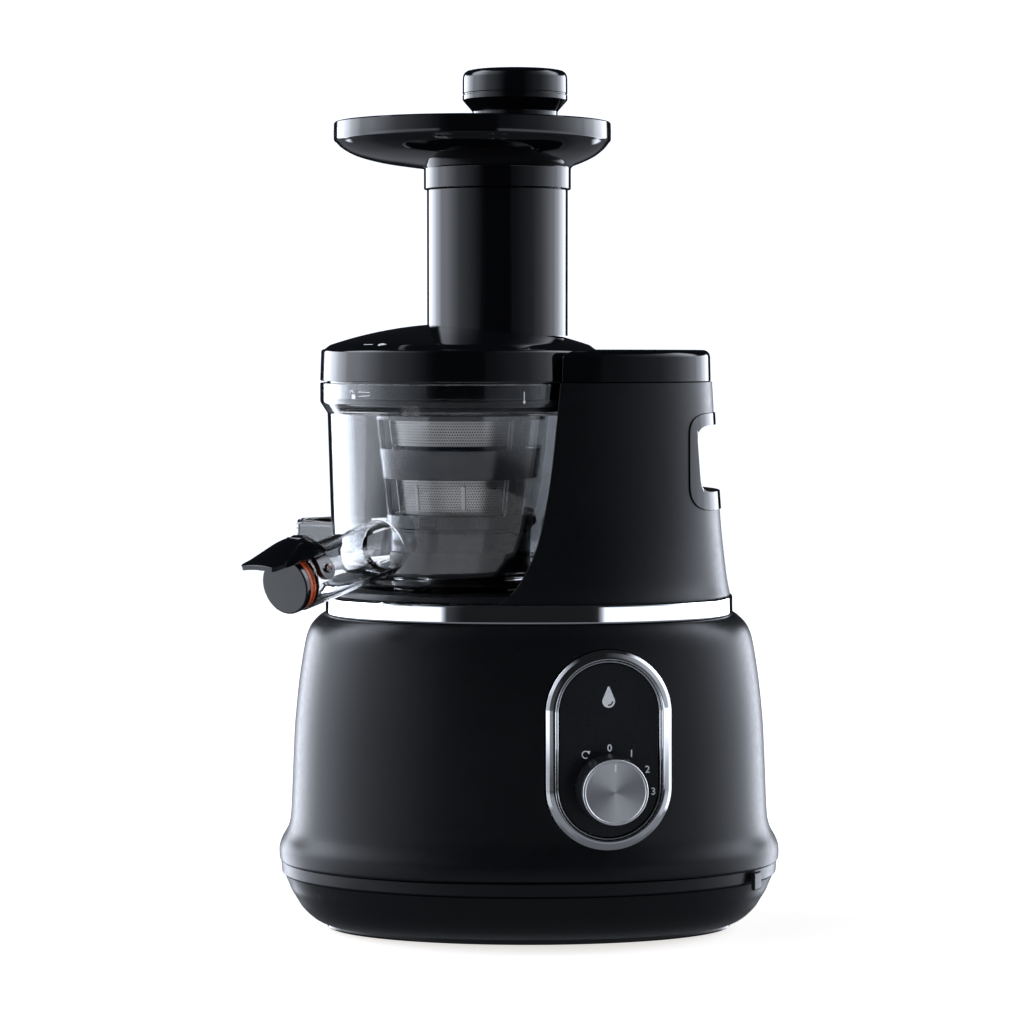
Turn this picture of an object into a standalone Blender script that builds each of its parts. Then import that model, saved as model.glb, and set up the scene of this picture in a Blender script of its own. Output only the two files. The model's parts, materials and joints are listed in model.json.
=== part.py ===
"""A vertical slow juicer, as an assembly of separate parts.

Units are millimetres in the constants and metres in the scene. +Z is up, +X is the tower side,
-Y is the front, and the origin is the centre of the foot plate's flat underside.
"""

import math

import bmesh
import bpy
from mathutils import Matrix, Vector

MM = 0.001
GAP = 0.3                      # clearance between neighbouring pieces
ROUND = 32                     # segments of a large outline
SMALL_ROUND = 16               # segments of a small turned piece

# Base: half-length (X), half-depth (Y) and superellipse power at each height
FOOT_A, FOOT_B, FOOT_TOP = 101.5, 51.0, 3.0
PAN_WALL = 2.6
BODY_WALL = 3.0
BODY_POWER = 2.35
BODY_TOP = 158.6
BAND_TOP = 168.1
DECK_Z = 168.4
DECK_THICK = 3.2
TOWER_SEAM_Z = 274.0
TOWER_TOP = 289.5

# Bowl, lid, feed tube and tray
BOWL_X = -34.5
BOWL_R = 65.8
RIM_R = 69.5
SCOOP_R = 72.5
BOWL_FLOOR = DECK_Z + DECK_THICK + GAP
RIM_TOP = 273.3
LEDGE_Z = 259.7
TUBE_X, TUBE_R, TUBE_TOP = -15.75, 35.0, 368.7
CHUTE_X = -7.0                 # feed chute and pusher axis
CHUTE_R = 21.6
PUSHER_TOP = 428.0

# Juice spout: plan direction, downward slope, and distances along its own axis
SPOUT_AZIMUTH = math.radians(-127.0)
SPOUT_SLOPE = math.radians(11.0)
SPOUT_R, SPOUT_BORE_R = 14.0, 11.8
SPOUT_ROOT_Z = 195.0           # height of the spout's axis where it meets the bowl axis radius of 58
SPOUT_ROOT, SPOUT_END = 58.0, 127.0
CAP_FACE = 135.0
CAP_HINGE, CAP_PIN_R = (0, 18.6, 120.5), 1.0   # the lever's pin, in the spout's own frame
PULP_AZIMUTH = math.radians(131.0)
PULP_END = 114.0

# Control panel on the front, turned and leaned with the housing wall
PANEL_X, PANEL_Y, PANEL_Z = 37.3, -74.4, 99.0
PANEL_YAW, PANEL_LEAN = math.radians(8.0), math.radians(1.5)
PANEL_HALF_W, PANEL_HALF_H = 30.4, 48.0
BEZEL_WIDTH = 6.0
KNOB_DROP = 18.1
KNOB_R, KNOB_DEPTH = 16.0, 18.0

# Gear train: teeth and module of each mesh, all axes vertical on Y = 0
OUTPUT_TEETH, OUTPUT_MODULE = 30, 2.0
IDLER_SMALL_TEETH = 8
IDLER_BIG_TEETH, MOTOR_MODULE = 32, 1.5
MOTOR_TEETH = 8
FAN_BLADES = 7
IDLER_X = BOWL_X + OUTPUT_MODULE * (OUTPUT_TEETH + IDLER_SMALL_TEETH) / 2
MOTOR_X = IDLER_X + MOTOR_MODULE * (IDLER_BIG_TEETH + MOTOR_TEETH) / 2
BRUSH_MODULE, AUGER_TEETH, BRUSH_IDLER_TEETH, BRUSH_TEETH = 2.25, 8, 8, 24
BRUSH_IDLER_AZIMUTH = math.radians(60.0)
BRUSH_GEAR_Z = (181.5, 187.5)
GEARBOX_SPLIT, GEARBOX_TOP = 113.8, 149.5

# Strainer, brush and screw, all about the bowl's axis
STRAINER_R, STRAINER_R_Z, STRAINER_TAPER = 30.3, 208.0, 0.114   # radius, its height, growth per mm
LOWER_MESH_Z, UPPER_MESH_Z = (208.5, 226.0), (242.5, 258.0)
MESH_THICK = 0.6
BAND_NEAR, BAND_FAR = 3.4, 6.6  # the brush cage's inside and outside, from the strainer's surface
BRUSH_GEAR_R = 35.0
SCREW_CLEAR = 3.4               # from the strainer's surface to the edge of the screw's flights
STRUTS = 3
STRUT_AZIMUTH = 193.0

PARTS = "slow_juicer"
CUTTERS = "cutters"


# ---------------------------------------------------------------- scene and materials

def clear_scene():
    for obj in list(bpy.data.objects):
        bpy.data.objects.remove(obj, do_unlink=True)


def collection(name):
    found = bpy.data.collections.get(name)
    if not found:
        found = bpy.data.collections.new(name)
        bpy.context.scene.collection.children.link(found)
    return found


def material(name, colour, roughness, metallic=0.0):
    found = bpy.data.materials.get(name)
    if not found:
        found = bpy.data.materials.new(name)
        found.use_nodes = True
        shader = found.node_tree.nodes["Principled BSDF"]
        shader.inputs["Base Color"].default_value = (*colour, 1.0)
        shader.inputs["Roughness"].default_value = roughness
        shader.inputs["Metallic"].default_value = metallic
        found.diffuse_color = (*colour, 1.0)
    return found


def matte_black():
    return material("matte_black", (0.018, 0.019, 0.022), 0.45)


def gloss_black():
    return material("gloss_black", (0.008, 0.008, 0.01), 0.08)


def clear_plastic():
    return material("clear_plastic", (0.75, 0.78, 0.82), 0.05)


def grey_plastic():
    return material("grey_plastic", (0.12, 0.13, 0.15), 0.3)


def chrome():
    return material("chrome", (0.85, 0.85, 0.87), 0.06, 1.0)


def steel():
    return material("steel", (0.6, 0.6, 0.62), 0.3, 1.0)


def rubber():
    return material("rubber", (0.03, 0.03, 0.03), 0.8)


def red_silicone():
    return material("red_silicone", (0.62, 0.1, 0.03), 0.4)


# ---------------------------------------------------------------- building helpers

def add_object(name, mesh, paint, cutter=False):
    obj = bpy.data.objects.new(name, mesh)
    collection(CUTTERS if cutter else PARTS).objects.link(obj)
    if cutter:
        obj.hide_render = True
        obj.display_type = "WIRE"
    else:
        mesh.materials.append(paint)
    return obj


def finish_mesh(bm, name):
    bmesh.ops.recalc_face_normals(bm, faces=bm.faces)
    mesh = bpy.data.meshes.new(name)
    bm.to_mesh(mesh)
    bm.free()
    mesh.shade_smooth()
    mesh.set_sharp_from_angle(angle=math.radians(35))
    return mesh


def loft(name, rings, paint=None, closed=False, cutter=False):
    """A solid through rings of equal point counts: capped at both ends, or joined end to start."""
    bm = bmesh.new()
    rows = [[bm.verts.new(Vector(p) * MM) for p in ring] for ring in rings]
    pairs = list(zip(rows, rows[1:]))
    if closed:
        pairs.append((rows[-1], rows[0]))
    for low, high in pairs:
        count = len(low)
        for i in range(count):
            j = (i + 1) % count
            bm.faces.new((low[i], low[j], high[j], high[i]))
    if not closed:
        bm.faces.new(rows[0])
        bm.faces.new(rows[-1])
    return add_object(name, finish_mesh(bm, name), paint, cutter)


def turned(name, profile, paint=None, at=(0, 0, 0), steps=ROUND, closed=True, cutter=False):
    """A profile of (radius, height) that runs down its outer side, turned about its own Z axis."""
    mesh = bpy.data.meshes.new(name)
    points = [(r * MM, 0, z * MM) for r, z in profile]
    count = len(points)
    edges = [(i, i + 1) for i in range(count - 1)] + ([(count - 1, 0)] if closed else [])
    mesh.from_pydata(points, edges, [])
    obj = add_object(name, mesh, paint, cutter)
    obj.location = Vector(at) * MM
    screw = obj.modifiers.new("turn", "SCREW")
    screw.steps = screw.render_steps = steps
    screw.use_merge_vertices = True
    screw.merge_threshold = 0.00001
    screw.use_smooth_shade = True
    return obj


def cylinder(name, radius, low, high, paint=None, at=(0, 0), steps=SMALL_ROUND, cutter=False):
    bm = bmesh.new()
    bmesh.ops.create_cone(bm, cap_ends=True, segments=steps, radius1=radius * MM,
                          radius2=radius * MM, depth=(high - low) * MM)
    bmesh.ops.translate(bm, verts=bm.verts, vec=Vector((at[0], at[1], (low + high) / 2)) * MM)
    return add_object(name, finish_mesh(bm, name), paint, cutter)


def ring(name, outer, inner, low, high, paint=None, at=(0, 0), steps=SMALL_ROUND):
    profile = [(outer, high), (outer, low), (inner, low), (inner, high)]
    return turned(name, profile, paint, (at[0], at[1], 0), steps)


def block(name, low, high, paint=None, bevel=0.0, cutter=False):
    bm = bmesh.new()
    bmesh.ops.create_cube(bm, size=1)
    size = [(h - l) * MM for l, h in zip(low, high)]
    middle = [(h + l) / 2 * MM for l, h in zip(low, high)]
    bmesh.ops.scale(bm, verts=bm.verts, vec=size)
    bmesh.ops.translate(bm, verts=bm.verts, vec=middle)
    if bevel:
        bmesh.ops.bevel(bm, geom=list(bm.edges), offset=bevel * MM, segments=2, affect="EDGES")
    return add_object(name, finish_mesh(bm, name), paint, cutter)


def place(obj, matrix):
    """Puts an object built about the world's origin into the frame of the matrix."""
    obj.matrix_world = matrix
    return obj


def boolean(obj, other, operation="DIFFERENCE"):
    modifier = obj.modifiers.new(operation.lower(), "BOOLEAN")
    modifier.operation = operation
    modifier.object = other
    return obj


def cut(obj, *others):
    for other in others:
        boolean(obj, other)
    return obj


def join(obj, *others):
    for other in others:
        boolean(obj, other, "UNION")
    return obj


def superellipse(z, a, b, power=BODY_POWER, count=ROUND, x=0.0):
    points = []
    for i in range(count):
        angle = 2 * math.pi * i / count
        c, s = math.cos(angle), math.sin(angle)
        px = x + a * math.copysign(abs(c) ** (2 / power), c)
        py = b * math.copysign(abs(s) ** (2 / power), s)
        points.append((px, py, z))
    return points


def circle(z, x, radius, count=ROUND):
    return superellipse(z, radius, radius, 2.0, count, x)


def stadium(offset, half_w, half_h, count=32):
    """An upright stadium in the panel's own frame: X across, Z up, at Y = -offset."""
    points = []
    straight = half_h - half_w
    for i in range(count):
        angle = 2 * math.pi * (i + 0.5) / count
        rise = straight if math.sin(angle) > 0 else -straight
        points.append((half_w * math.cos(angle), -offset, half_w * math.sin(angle) + rise))
    return points


def gear_ring(z, teeth, module, phase=0.0, internal=False, at=(0, 0)):
    """One ring of a spur gear's outline: flat tips and roots with straight, slimmed flanks."""
    pitch_r = teeth * module / 2
    sign = -1 if internal else 1
    tip, root = pitch_r + sign * 0.8 * module, pitch_r - sign * 1.05 * module
    step = 2 * math.pi / teeth
    points = []
    for i in range(teeth):
        middle = phase + i * step
        for share, radius in ((-0.27, root), (-0.1, tip), (0.1, tip), (0.27, root)):
            angle = middle + share * step
            points.append((at[0] + radius * math.cos(angle), at[1] + radius * math.sin(angle), z))
    return points


def gear(name, teeth, module, low, high, paint=None, at=(0, 0), phase=0.0, cutter=False):
    rings = [gear_ring(z, teeth, module, phase, False, at) for z in (low, high)]
    return loft(name, rings, paint, cutter=cutter)


def offset_sections(sections, wall):
    return [(z, a - wall, b - wall) for z, a, b in sections]


# ---------------------------------------------------------------- base

PAN_SECTIONS = [(35.2, 124.4, 78.6), (29.0, 124.0, 78.2), (28.2, 122.6, 76.8), (20, 119.3, 72.5),
                (12, 114.5, 67), (7, 110, 61.5), (3.3, 104, 54.5)]
BODY_SECTIONS = [(BODY_TOP, 101.6, 70.5), (156.5, 105.2, 72.2), (152.5, 109.0, 73.5),
                 (147, 111.2, 74.3), (118, 115.8, 75.8), (84, 118.2, 76.3), (54, 119.8, 76.9),
                 (49, 122.2, 78.0), (44, 125.0, 79.2), (38, 125.2, 79.3), (35.8, 124.6, 78.8)]
UPPER_SECTIONS = [(DECK_Z, 100.2, 70.4), (176, 98.8, 67.4), (188, 97.3, 64.2), (200, 96.0, 61.8),
                  (215, 94.6, 59.6), (235, 93.2, 57.4), (TOWER_SEAM_Z - GAP, 90.6, 54.0)]
CAP_SECTIONS = [(TOWER_SEAM_Z, 90.6, 54.0), (285.5, 90.2, 53.6), (288.4, 88.8, 52.2),
                (TOWER_TOP, 86.0, 49.4)]
FOOT_SPOTS = [(sx * 68, sy * 20) for sx in (-1, 1) for sy in (-1, 1)]
SCREW_SPOTS = [(sx * 46, sy * 34) for sx in (-1, 1) for sy in (-1, 1)]
VENT_XS = [sx * (18 + 8 * i) for sx in (-1, 1) for i in range(3)]


def base_cutters():
    """Foot pockets, screw holes and vent slots that the foot plate and the pan share."""
    pockets = [cylinder(f"foot_pocket_{i}", 8 + GAP, -1, 2.3, at=spot, steps=12, cutter=True)
               for i, spot in enumerate(FOOT_SPOTS)]
    heads = [cylinder(f"screw_head_pocket_{i}", 3.7, -1, 2.0, at=spot, steps=8, cutter=True)
             for i, spot in enumerate(SCREW_SPOTS)]
    holes = [cylinder(f"screw_hole_{i}", 2.1, -2, 12, at=spot, steps=8, cutter=True)
             for i, spot in enumerate(SCREW_SPOTS)]
    vents = [block(f"vent_{i}", (x - 1.6, -16, -1), (x + 1.6, 16, 12), cutter=True)
             for i, x in enumerate(VENT_XS)]
    return pockets, heads, holes, vents


def foot_plate(pockets, heads, holes, vents):
    rings = [superellipse(z, a, b, 2.0) for z, a, b in
             ((0, FOOT_A - 0.6, FOOT_B - 0.6), (0.6, FOOT_A, FOOT_B), (FOOT_TOP, FOOT_A, FOOT_B))]
    plate = loft("foot_plate", rings, gloss_black())
    cut(plate, *pockets, *heads, *holes, *vents)


def rubber_feet():
    for i, (x, y) in enumerate(FOOT_SPOTS):
        profile = [(0, 2.0), (8, 2.0), (8, 0.5), (7.5, 0), (0, 0)]
        turned(f"rubber_foot_{i + 1}", profile, rubber(), (x, y, 0), 12, closed=False)


def base_screws():
    for i, (x, y) in enumerate(SCREW_SPOTS):
        profile = [(0, 11), (1.6, 11), (1.6, 1.7), (3.2, 1.7), (3.2, 0.3), (0, 0.3)]
        turned(f"base_screw_{i + 1}", profile, steel(), (x, y, 0), 8, closed=False)


def bottom_pan(holes, vents):
    outer = [superellipse(z, a, b, 2.1) for z, a, b in PAN_SECTIONS]
    inner = [superellipse(max(z, 6.0), a - PAN_WALL, b - PAN_WALL, 2.1)
             for z, a, b in (PAN_SECTIONS[-1], PAN_SECTIONS[-3], PAN_SECTIONS[-4], PAN_SECTIONS[0])]
    pan = loft("bottom_pan", outer[::-1] + inner[::-1], matte_black())
    gland_hole = block("gland_hole", (-6.3, 58, 12.7), (6.3, 90, 23.3), cutter=True)
    cut(pan, *holes, *vents, gland_hole)


def cord_gland():
    """Rubber grommet in the back of the pan, where the mains lead would come out."""
    grommet = block("cord_gland", (-6, 63.5, 13), (6, 76.0, 23), rubber(), bevel=1.2)
    bore = block("gland_bore", (-3.4, 55, 15.4), (3.4, 90, 20.6), cutter=True)
    cut(grommet, bore)


def side_lug():
    """Small rounded lug on the seam, on the front right."""
    lug = block("side_lug", (-4, -2.8, 25.5), (4, -0.7, 34.2), gloss_black(), bevel=0.9)
    place(lug, Matrix.Translation(Vector((109.6, -39.6, 0)) * MM)
          @ Matrix.Rotation(math.radians(58), 4, "Z"))


def base_housing(panel_frame):
    outer = [superellipse(z, a, b) for z, a, b in BODY_SECTIONS]
    inside = [BODY_SECTIONS[-1], BODY_SECTIONS[-3], BODY_SECTIONS[-5], BODY_SECTIONS[3]]
    inner = [superellipse(z, a - BODY_WALL, b - BODY_WALL) for z, a, b in inside]
    lip = [superellipse(155.6, 103, 68.5), superellipse(155.6, 92, 61), superellipse(BODY_TOP, 92, 61)]
    housing = loft("base_housing", outer + inner + lip, matte_black(), closed=True)
    opening = loft("panel_opening", [stadium(-30, PANEL_HALF_W + GAP, PANEL_HALF_H + GAP),
                                     stadium(12, PANEL_HALF_W + GAP, PANEL_HALF_H + GAP)], cutter=True)
    place(opening, panel_frame)
    cut(housing, opening)


def chrome_band():
    outer = [superellipse(BAND_TOP, 100.3, 70.4), superellipse(167.4, 101.0, 71.0),
             superellipse(160, 101.6, 71.3), superellipse(158.9, 101.2, 71.0)]
    inner = [superellipse(158.9, 98.4, 68.4), superellipse(BAND_TOP, 98.4, 68.4)]
    loft("chrome_band", outer + inner, chrome(), closed=True)


# ---------------------------------------------------------------- tower

def hollow_cutter(name, sections, wall, low, high):
    """The inside of the tower: the outline less a wall, and clear of the bowl's scoop."""
    shape = loft(name, [superellipse(min(max(z, low), high), a - wall, b - wall)
                        for z, a, b in sections], cutter=True)
    guard = cylinder(name + "_guard", SCOOP_R + wall, 160, 300, at=(BOWL_X, 0), steps=48, cutter=True)
    return cut(shape, guard)


def upper_housing():
    housing = loft("upper_housing", [superellipse(z, a, b) for z, a, b in UPPER_SECTIONS], matte_black())
    scoop = cylinder("bowl_scoop", SCOOP_R, DECK_Z + DECK_THICK, 300, at=(BOWL_X, 0), steps=48,
                     cutter=True)
    inside = [(DECK_Z + DECK_THICK, 99, 66), *UPPER_SECTIONS[1:-1], (280, 90.4, 53.6)]
    hollow = hollow_cutter("tower_hollow", inside, BODY_WALL, DECK_Z + DECK_THICK, 280)
    shaft_hole = cylinder("deck_hole", 10.5 + GAP, 160, 180, at=(BOWL_X, 0), cutter=True)
    grip = block("grip_opening", (77.8, -80, 210.6), (120, 80, 258.8), cutter=True)
    cut(housing, scoop, hollow, shaft_hole, grip)
    return scoop


def tower_cap(scoop):
    cap = loft("tower_cap", [superellipse(z, a, b) for z, a, b in CAP_SECTIONS], gloss_black())
    inside = [(TOWER_SEAM_Z - 2, 90.6, 54.0), (286.5, 89.6, 53.0)]
    hollow = hollow_cutter("cap_hollow", inside, BODY_WALL, TOWER_SEAM_Z - 2, 286.5)
    cut(cap, scoop, hollow)


def handle_insert():
    """C-shaped liner of the grip opening, slightly proud of the tower."""
    liner = loft("handle_insert", [superellipse(z, a + 0.8, b + 0.8) for z, a, b in
                                   ((210.9, 94.9, 60.0), (235, 93.2, 57.4), (258.5, 91.5, 55.2))],
                 gloss_black())
    front = block("liner_front", (-120, -90, 200), (78.1, 90, 270), cutter=True)
    grip = block("liner_grip", (83.0, -90, 219.5), (130, 90, 252.5), bevel=1.2, cutter=True)
    cut(liner, front, grip)


# ---------------------------------------------------------------- control panel

def panel_matrix():
    return (Matrix.Translation(Vector((PANEL_X, PANEL_Y, PANEL_Z)) * MM)
            @ Matrix.Rotation(PANEL_YAW, 4, "Z") @ Matrix.Rotation(-PANEL_LEAN, 4, "X"))


def knob_matrix(panel_frame):
    """The knob's own frame: +Z out of the panel, the pointer towards +Y, which is up."""
    return (panel_frame @ Matrix.Translation(Vector((0, 0, -KNOB_DROP)) * MM)
            @ Matrix.Rotation(math.radians(90), 4, "X"))


def bezel_ring(frame):
    inner_w, inner_h = PANEL_HALF_W - BEZEL_WIDTH, PANEL_HALF_H - BEZEL_WIDTH
    rings = [stadium(-7, PANEL_HALF_W, PANEL_HALF_H), stadium(0.6, PANEL_HALF_W, PANEL_HALF_H),
             stadium(2.2, PANEL_HALF_W - 1.6, PANEL_HALF_H - 1.6),
             stadium(2.4, PANEL_HALF_W - 3.4, PANEL_HALF_H - 3.4),
             stadium(0.8, inner_w, inner_h), stadium(-7, inner_w, inner_h)]
    place(loft("bezel_ring", rings, chrome(), closed=True), frame)


def control_panel(frame):
    half_w, half_h = PANEL_HALF_W - BEZEL_WIDTH - GAP, PANEL_HALF_H - BEZEL_WIDTH - GAP
    rings = [stadium(-3.2, half_w, half_h), stadium(-0.2, half_w, half_h),
             stadium(0.2, half_w - 0.5, half_h - 0.5)]
    plate = place(loft("control_panel", rings, gloss_black()), frame)
    hole = place(cylinder("knob_hole", 4.4, -10, 10, cutter=True), knob_matrix(frame))
    cut(plate, hole)


def rotary_switch(frame):
    body = place(block("rotary_switch", (-13, -13, -22), (13, 13, -4), grey_plastic(), bevel=1.5),
                 knob_matrix(frame))
    hole = place(cylinder("switch_hole", 4.0, -14, 10, cutter=True), knob_matrix(frame))
    cut(body, hole)


def speed_knob(frame):
    """Dark skirt with its shaft, and a brushed metal face let into its front."""
    top = 0.9 + KNOB_DEPTH
    skirt = [(0, top - 2.3), (KNOB_R - 1.5, top - 2.3), (KNOB_R - 1.5, top - 0.8), (KNOB_R, top - 1.6),
             (KNOB_R + 0.6, 1.6), (KNOB_R - 0.4, 0.9), (3.6, 0.9), (3.6, -13), (0, -13)]
    place(turned("speed_knob", skirt, gloss_black(), steps=32, closed=False), knob_matrix(frame))
    face_r = KNOB_R - 1.5 - GAP
    face = [(0, top), (face_r - 0.6, top), (face_r, top - 0.6), (face_r, top - 2.0), (0, top - 2.0)]
    place(turned("knob_face", face, steel(), steps=32, closed=False), knob_matrix(frame))


# ---------------------------------------------------------------- drive train

def motor():
    at = (MOTOR_X, 0)
    stator = [(30, 100), (30, 50), (20.3, 50), (20.3, 100)]
    turned("motor_stator", stator, steel(), (MOTOR_X, 0, 0), 24)
    rotor = [(0, 114), (4, 114), (4, 98), (19.4, 98), (19.4, 52), (4, 52), (4, 24), (0, 24)]
    turned("motor_rotor", rotor, steel(), (MOTOR_X, 0, 0), 24, closed=False)
    fan = turned("cooling_fan", [(10, 47), (10, 37), (4.3, 37), (4.3, 47)], grey_plastic(), (*at, 0), 24)
    centre = Matrix.Translation(Vector((*at, 0)) * MM)
    for i in range(FAN_BLADES):
        blade = block(f"fan_blade_{i}", (6, -0.9, 37.5), (26, 0.9, 46.5), cutter=True)
        place(blade, centre @ Matrix.Rotation(2 * math.pi * i / FAN_BLADES, 4, "Z"))
        join(fan, blade)
    gear("motor_pinion", MOTOR_TEETH, MOTOR_MODULE, 114.3, 125.5, steel(), at,
         phase=math.pi / MOTOR_TEETH)


def motor_bracket():
    """Lower bearing bridge of the motor, standing on the pan's floor."""
    bridge = turned("motor_bracket", [(34, 110), (34, 8.5), (31.3, 8.5), (31.3, 110)], steel(),
                    (MOTOR_X, 0, 0), 24)
    plate = cylinder("bracket_plate", 33, 22, 29.7, at=(MOTOR_X, 0), steps=24, cutter=True)
    bore = cylinder("bracket_bore", 4.4, 15, 35, at=(MOTOR_X, 0), cutter=True)
    window_a = block("bracket_window_a", (MOTOR_X - 40, -12, 34), (MOTOR_X + 40, 12, 96), cutter=True)
    window_b = block("bracket_window_b", (MOTOR_X - 12, -40, 34), (MOTOR_X + 12, 40, 96), cutter=True)
    join(bridge, plate)
    cut(bridge, bore, window_a, window_b)


def gearbox_outline(z, wall):
    return superellipse(z, 66 - wall, 40 - wall, 4.0, 32, -7.0)


def gearbox_base():
    plate = loft("gearbox_base", [gearbox_outline(110.4, 0), gearbox_outline(GEARBOX_SPLIT, 0)],
                 grey_plastic())
    motor_hole = cylinder("motor_shaft_hole", 7.5, 100, 120, at=(MOTOR_X, 0), cutter=True)
    shaft_hole = cylinder("output_shaft_hole", 5.4, 100, 120, at=(BOWL_X, 0), cutter=True)
    axle_hole = cylinder("axle_hole", 3.3, 100, 120, at=(IDLER_X, 0), cutter=True)
    cut(plate, motor_hole, shaft_hole, axle_hole)


def gearbox_cover():
    wall = 4
    rings = [gearbox_outline(GEARBOX_SPLIT + GAP, wall), gearbox_outline(GEARBOX_SPLIT + GAP, 0),
             gearbox_outline(146, 0), gearbox_outline(GEARBOX_TOP, 3)]
    shell = loft("gearbox_cover", rings, grey_plastic())
    room = loft("gear_room", [gearbox_outline(100, wall), gearbox_outline(GEARBOX_TOP - 3.2, wall)],
                cutter=True)
    bearing_seat = cylinder("bearing_seat", 11 + GAP, 140, 160, at=(BOWL_X, 0), cutter=True)
    axle_seat = cylinder("axle_seat", 3.3, 140, 160, at=(IDLER_X, 0), cutter=True)
    cut(shell, room, bearing_seat, axle_seat)


def drive_train():
    shaft = turned("drive_shaft", [(0, 178), (5, 178), (5, 108), (0, 108)], steel(), (BOWL_X, 0, 0),
                   SMALL_ROUND, closed=False)
    hexagon = cylinder("drive_hexagon", 6.2, 177, 190, at=(BOWL_X, 0), steps=6, cutter=True)
    join(shaft, hexagon)
    output = gear("output_gear", OUTPUT_TEETH, OUTPUT_MODULE, 128, 138, grey_plastic(), (BOWL_X, 0))
    cut(output, cylinder("output_bore", 5.3, 120, 145, at=(BOWL_X, 0), cutter=True))
    at = (IDLER_X, 0)
    axle = [(0, 149), (3, 149), (3, 111), (0, 111)]
    turned("idler_axle", axle, steel(), (IDLER_X, 0, 0), SMALL_ROUND, closed=False)
    half = math.pi / IDLER_SMALL_TEETH
    big = gear("reduction_gear", IDLER_BIG_TEETH, MOTOR_MODULE, 117, 124, grey_plastic(), at)
    small = gear("reduction_pinion", IDLER_SMALL_TEETH, OUTPUT_MODULE, 123, 139.5, at=at,
                 phase=math.pi + half, cutter=True)
    join(big, small)
    cut(big, cylinder("reduction_bore", 3.3, 100, 150, at=at, steps=16, cutter=True))
    ring("shaft_bearing", 11, 5.3, 143.5, 151, steel(), (BOWL_X, 0))
    seal = [(10.5, 174), (10.5, 169), (5.4, 169), (5.4, 176), (7, 176), (8, 174)]
    turned("shaft_seal", seal, rubber(), (BOWL_X, 0, 0), SMALL_ROUND)


def circuit_board():
    board = block("circuit_board", (-78, 46, 45), (-18, 47.8, 100), grey_plastic())
    chips = [block("board_block_0", (-70, 38, 55), (-52, 46.5, 80), cutter=True),
             block("board_block_1", (-44, 36, 60), (-26, 46.5, 74), cutter=True)]
    join(board, *chips)


# ---------------------------------------------------------------- juicing bowl

def spout_matrix():
    """+Z along the spout, away from the bowl; +Y up across it; +X to its side."""
    along = Vector((math.cos(SPOUT_AZIMUTH) * math.cos(SPOUT_SLOPE),
                    math.sin(SPOUT_AZIMUTH) * math.cos(SPOUT_SLOPE), -math.sin(SPOUT_SLOPE)))
    side = Vector((0, 0, 1)).cross(along).normalized()
    up = along.cross(side)
    turn = Matrix((side, up, along)).transposed().to_4x4()
    root = Vector((BOWL_X + SPOUT_ROOT * math.cos(SPOUT_AZIMUTH), SPOUT_ROOT * math.sin(SPOUT_AZIMUTH),
                   SPOUT_ROOT_Z))
    return Matrix.Translation(root * MM) @ turn @ Matrix.Translation(Vector((0, 0, -SPOUT_ROOT)) * MM)


def pulp_matrix():
    """+X along the pulp chute, away from the bowl axis."""
    return Matrix.Translation(Vector((BOWL_X, 0, 0)) * MM) @ Matrix.Rotation(PULP_AZIMUTH, 4, "Z")


def rectangle(x, half_w, low, high, corner):
    """A rounded rectangle across the chute, at distance x from the bowl axis."""
    points = []
    for i in range(16):
        angle = 2 * math.pi * (i + 0.5) / 16
        c, s = math.cos(angle), math.sin(angle)
        y = math.copysign(half_w - corner, c) + corner * c
        z = (high - corner if s > 0 else low + corner) + corner * s
        points.append((x, y, z))
    return points


def juice_bowl():
    """Clear cup with the spout and the pulp chute moulded on, and the brush idler's pin."""
    floor = BOWL_FLOOR
    profile = [(RIM_R, RIM_TOP), (RIM_R, 263.5), (BOWL_R, 257.5), (64.3, 204), (63.4, 190),
               (60.2, 179), (52.5, floor), (16, floor), (16, 178), (9.3, 178), (9.3, 180.6),
               (18.5, 180.6), (18.5, 177), (30, 177), (30, 181.0), (33, 181.0), (33, 176), (51, 176),
               (58, 181.5), (60.8, 192), (61.6, 204), (63.2, LEDGE_Z), (66.5, LEDGE_Z), (66.5, RIM_TOP)]
    bowl = turned("juice_bowl", profile, clear_plastic(), (BOWL_X, 0, 0))
    frame, chute_frame = spout_matrix(), pulp_matrix()
    tube = place(cylinder("spout_tube", SPOUT_R, 62, SPOUT_END, steps=24, cutter=True), frame)
    studs = place(block("spout_studs", (-17.2, 4, 119.5), (17.2, 8, 123.5), cutter=True), frame)
    chute_ends = [rectangle(60.5, 17, 172.6, 203, 4), rectangle(PULP_END, 16, 172.6, 201, 4)]
    chute = place(loft("pulp_chute", chute_ends, cutter=True), chute_frame)
    pin_x = BRUSH_MODULE * (AUGER_TEETH + BRUSH_IDLER_TEETH) / 2
    pin_at = (BOWL_X + pin_x * math.cos(BRUSH_IDLER_AZIMUTH), pin_x * math.sin(BRUSH_IDLER_AZIMUTH))
    pin = cylinder("idler_pin", 2.6, 178.5, 188, at=pin_at, steps=12, cutter=True)
    join(bowl, tube, studs, chute, pin)
    bore = place(cylinder("spout_bore", SPOUT_BORE_R, 52, 140, steps=24, cutter=True), frame)
    bore_ends = [rectangle(50, 14.4, 178.2, 200.4, 2.5), rectangle(130, 13.4, 175.2, 198.4, 2.5)]
    chute_bore = place(loft("pulp_bore", bore_ends, cutter=True), chute_frame)
    cut(bowl, bore, chute_bore)


def bowl_packing():
    """Silicone ring in the bowl's floor, round the drive."""
    profile = [(15.7, 177.7), (15.7, 172.2), (12, 172.2), (12, 176.8), (8.6, 176.8), (8.6, 177.7)]
    turned("bowl_packing", profile, rubber(), (BOWL_X, 0, 0), SMALL_ROUND)


def strainer_radius(z):
    """Outer radius of the tapered strainer at a height."""
    return STRAINER_R + STRAINER_TAPER * (z - STRAINER_R_Z)


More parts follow.
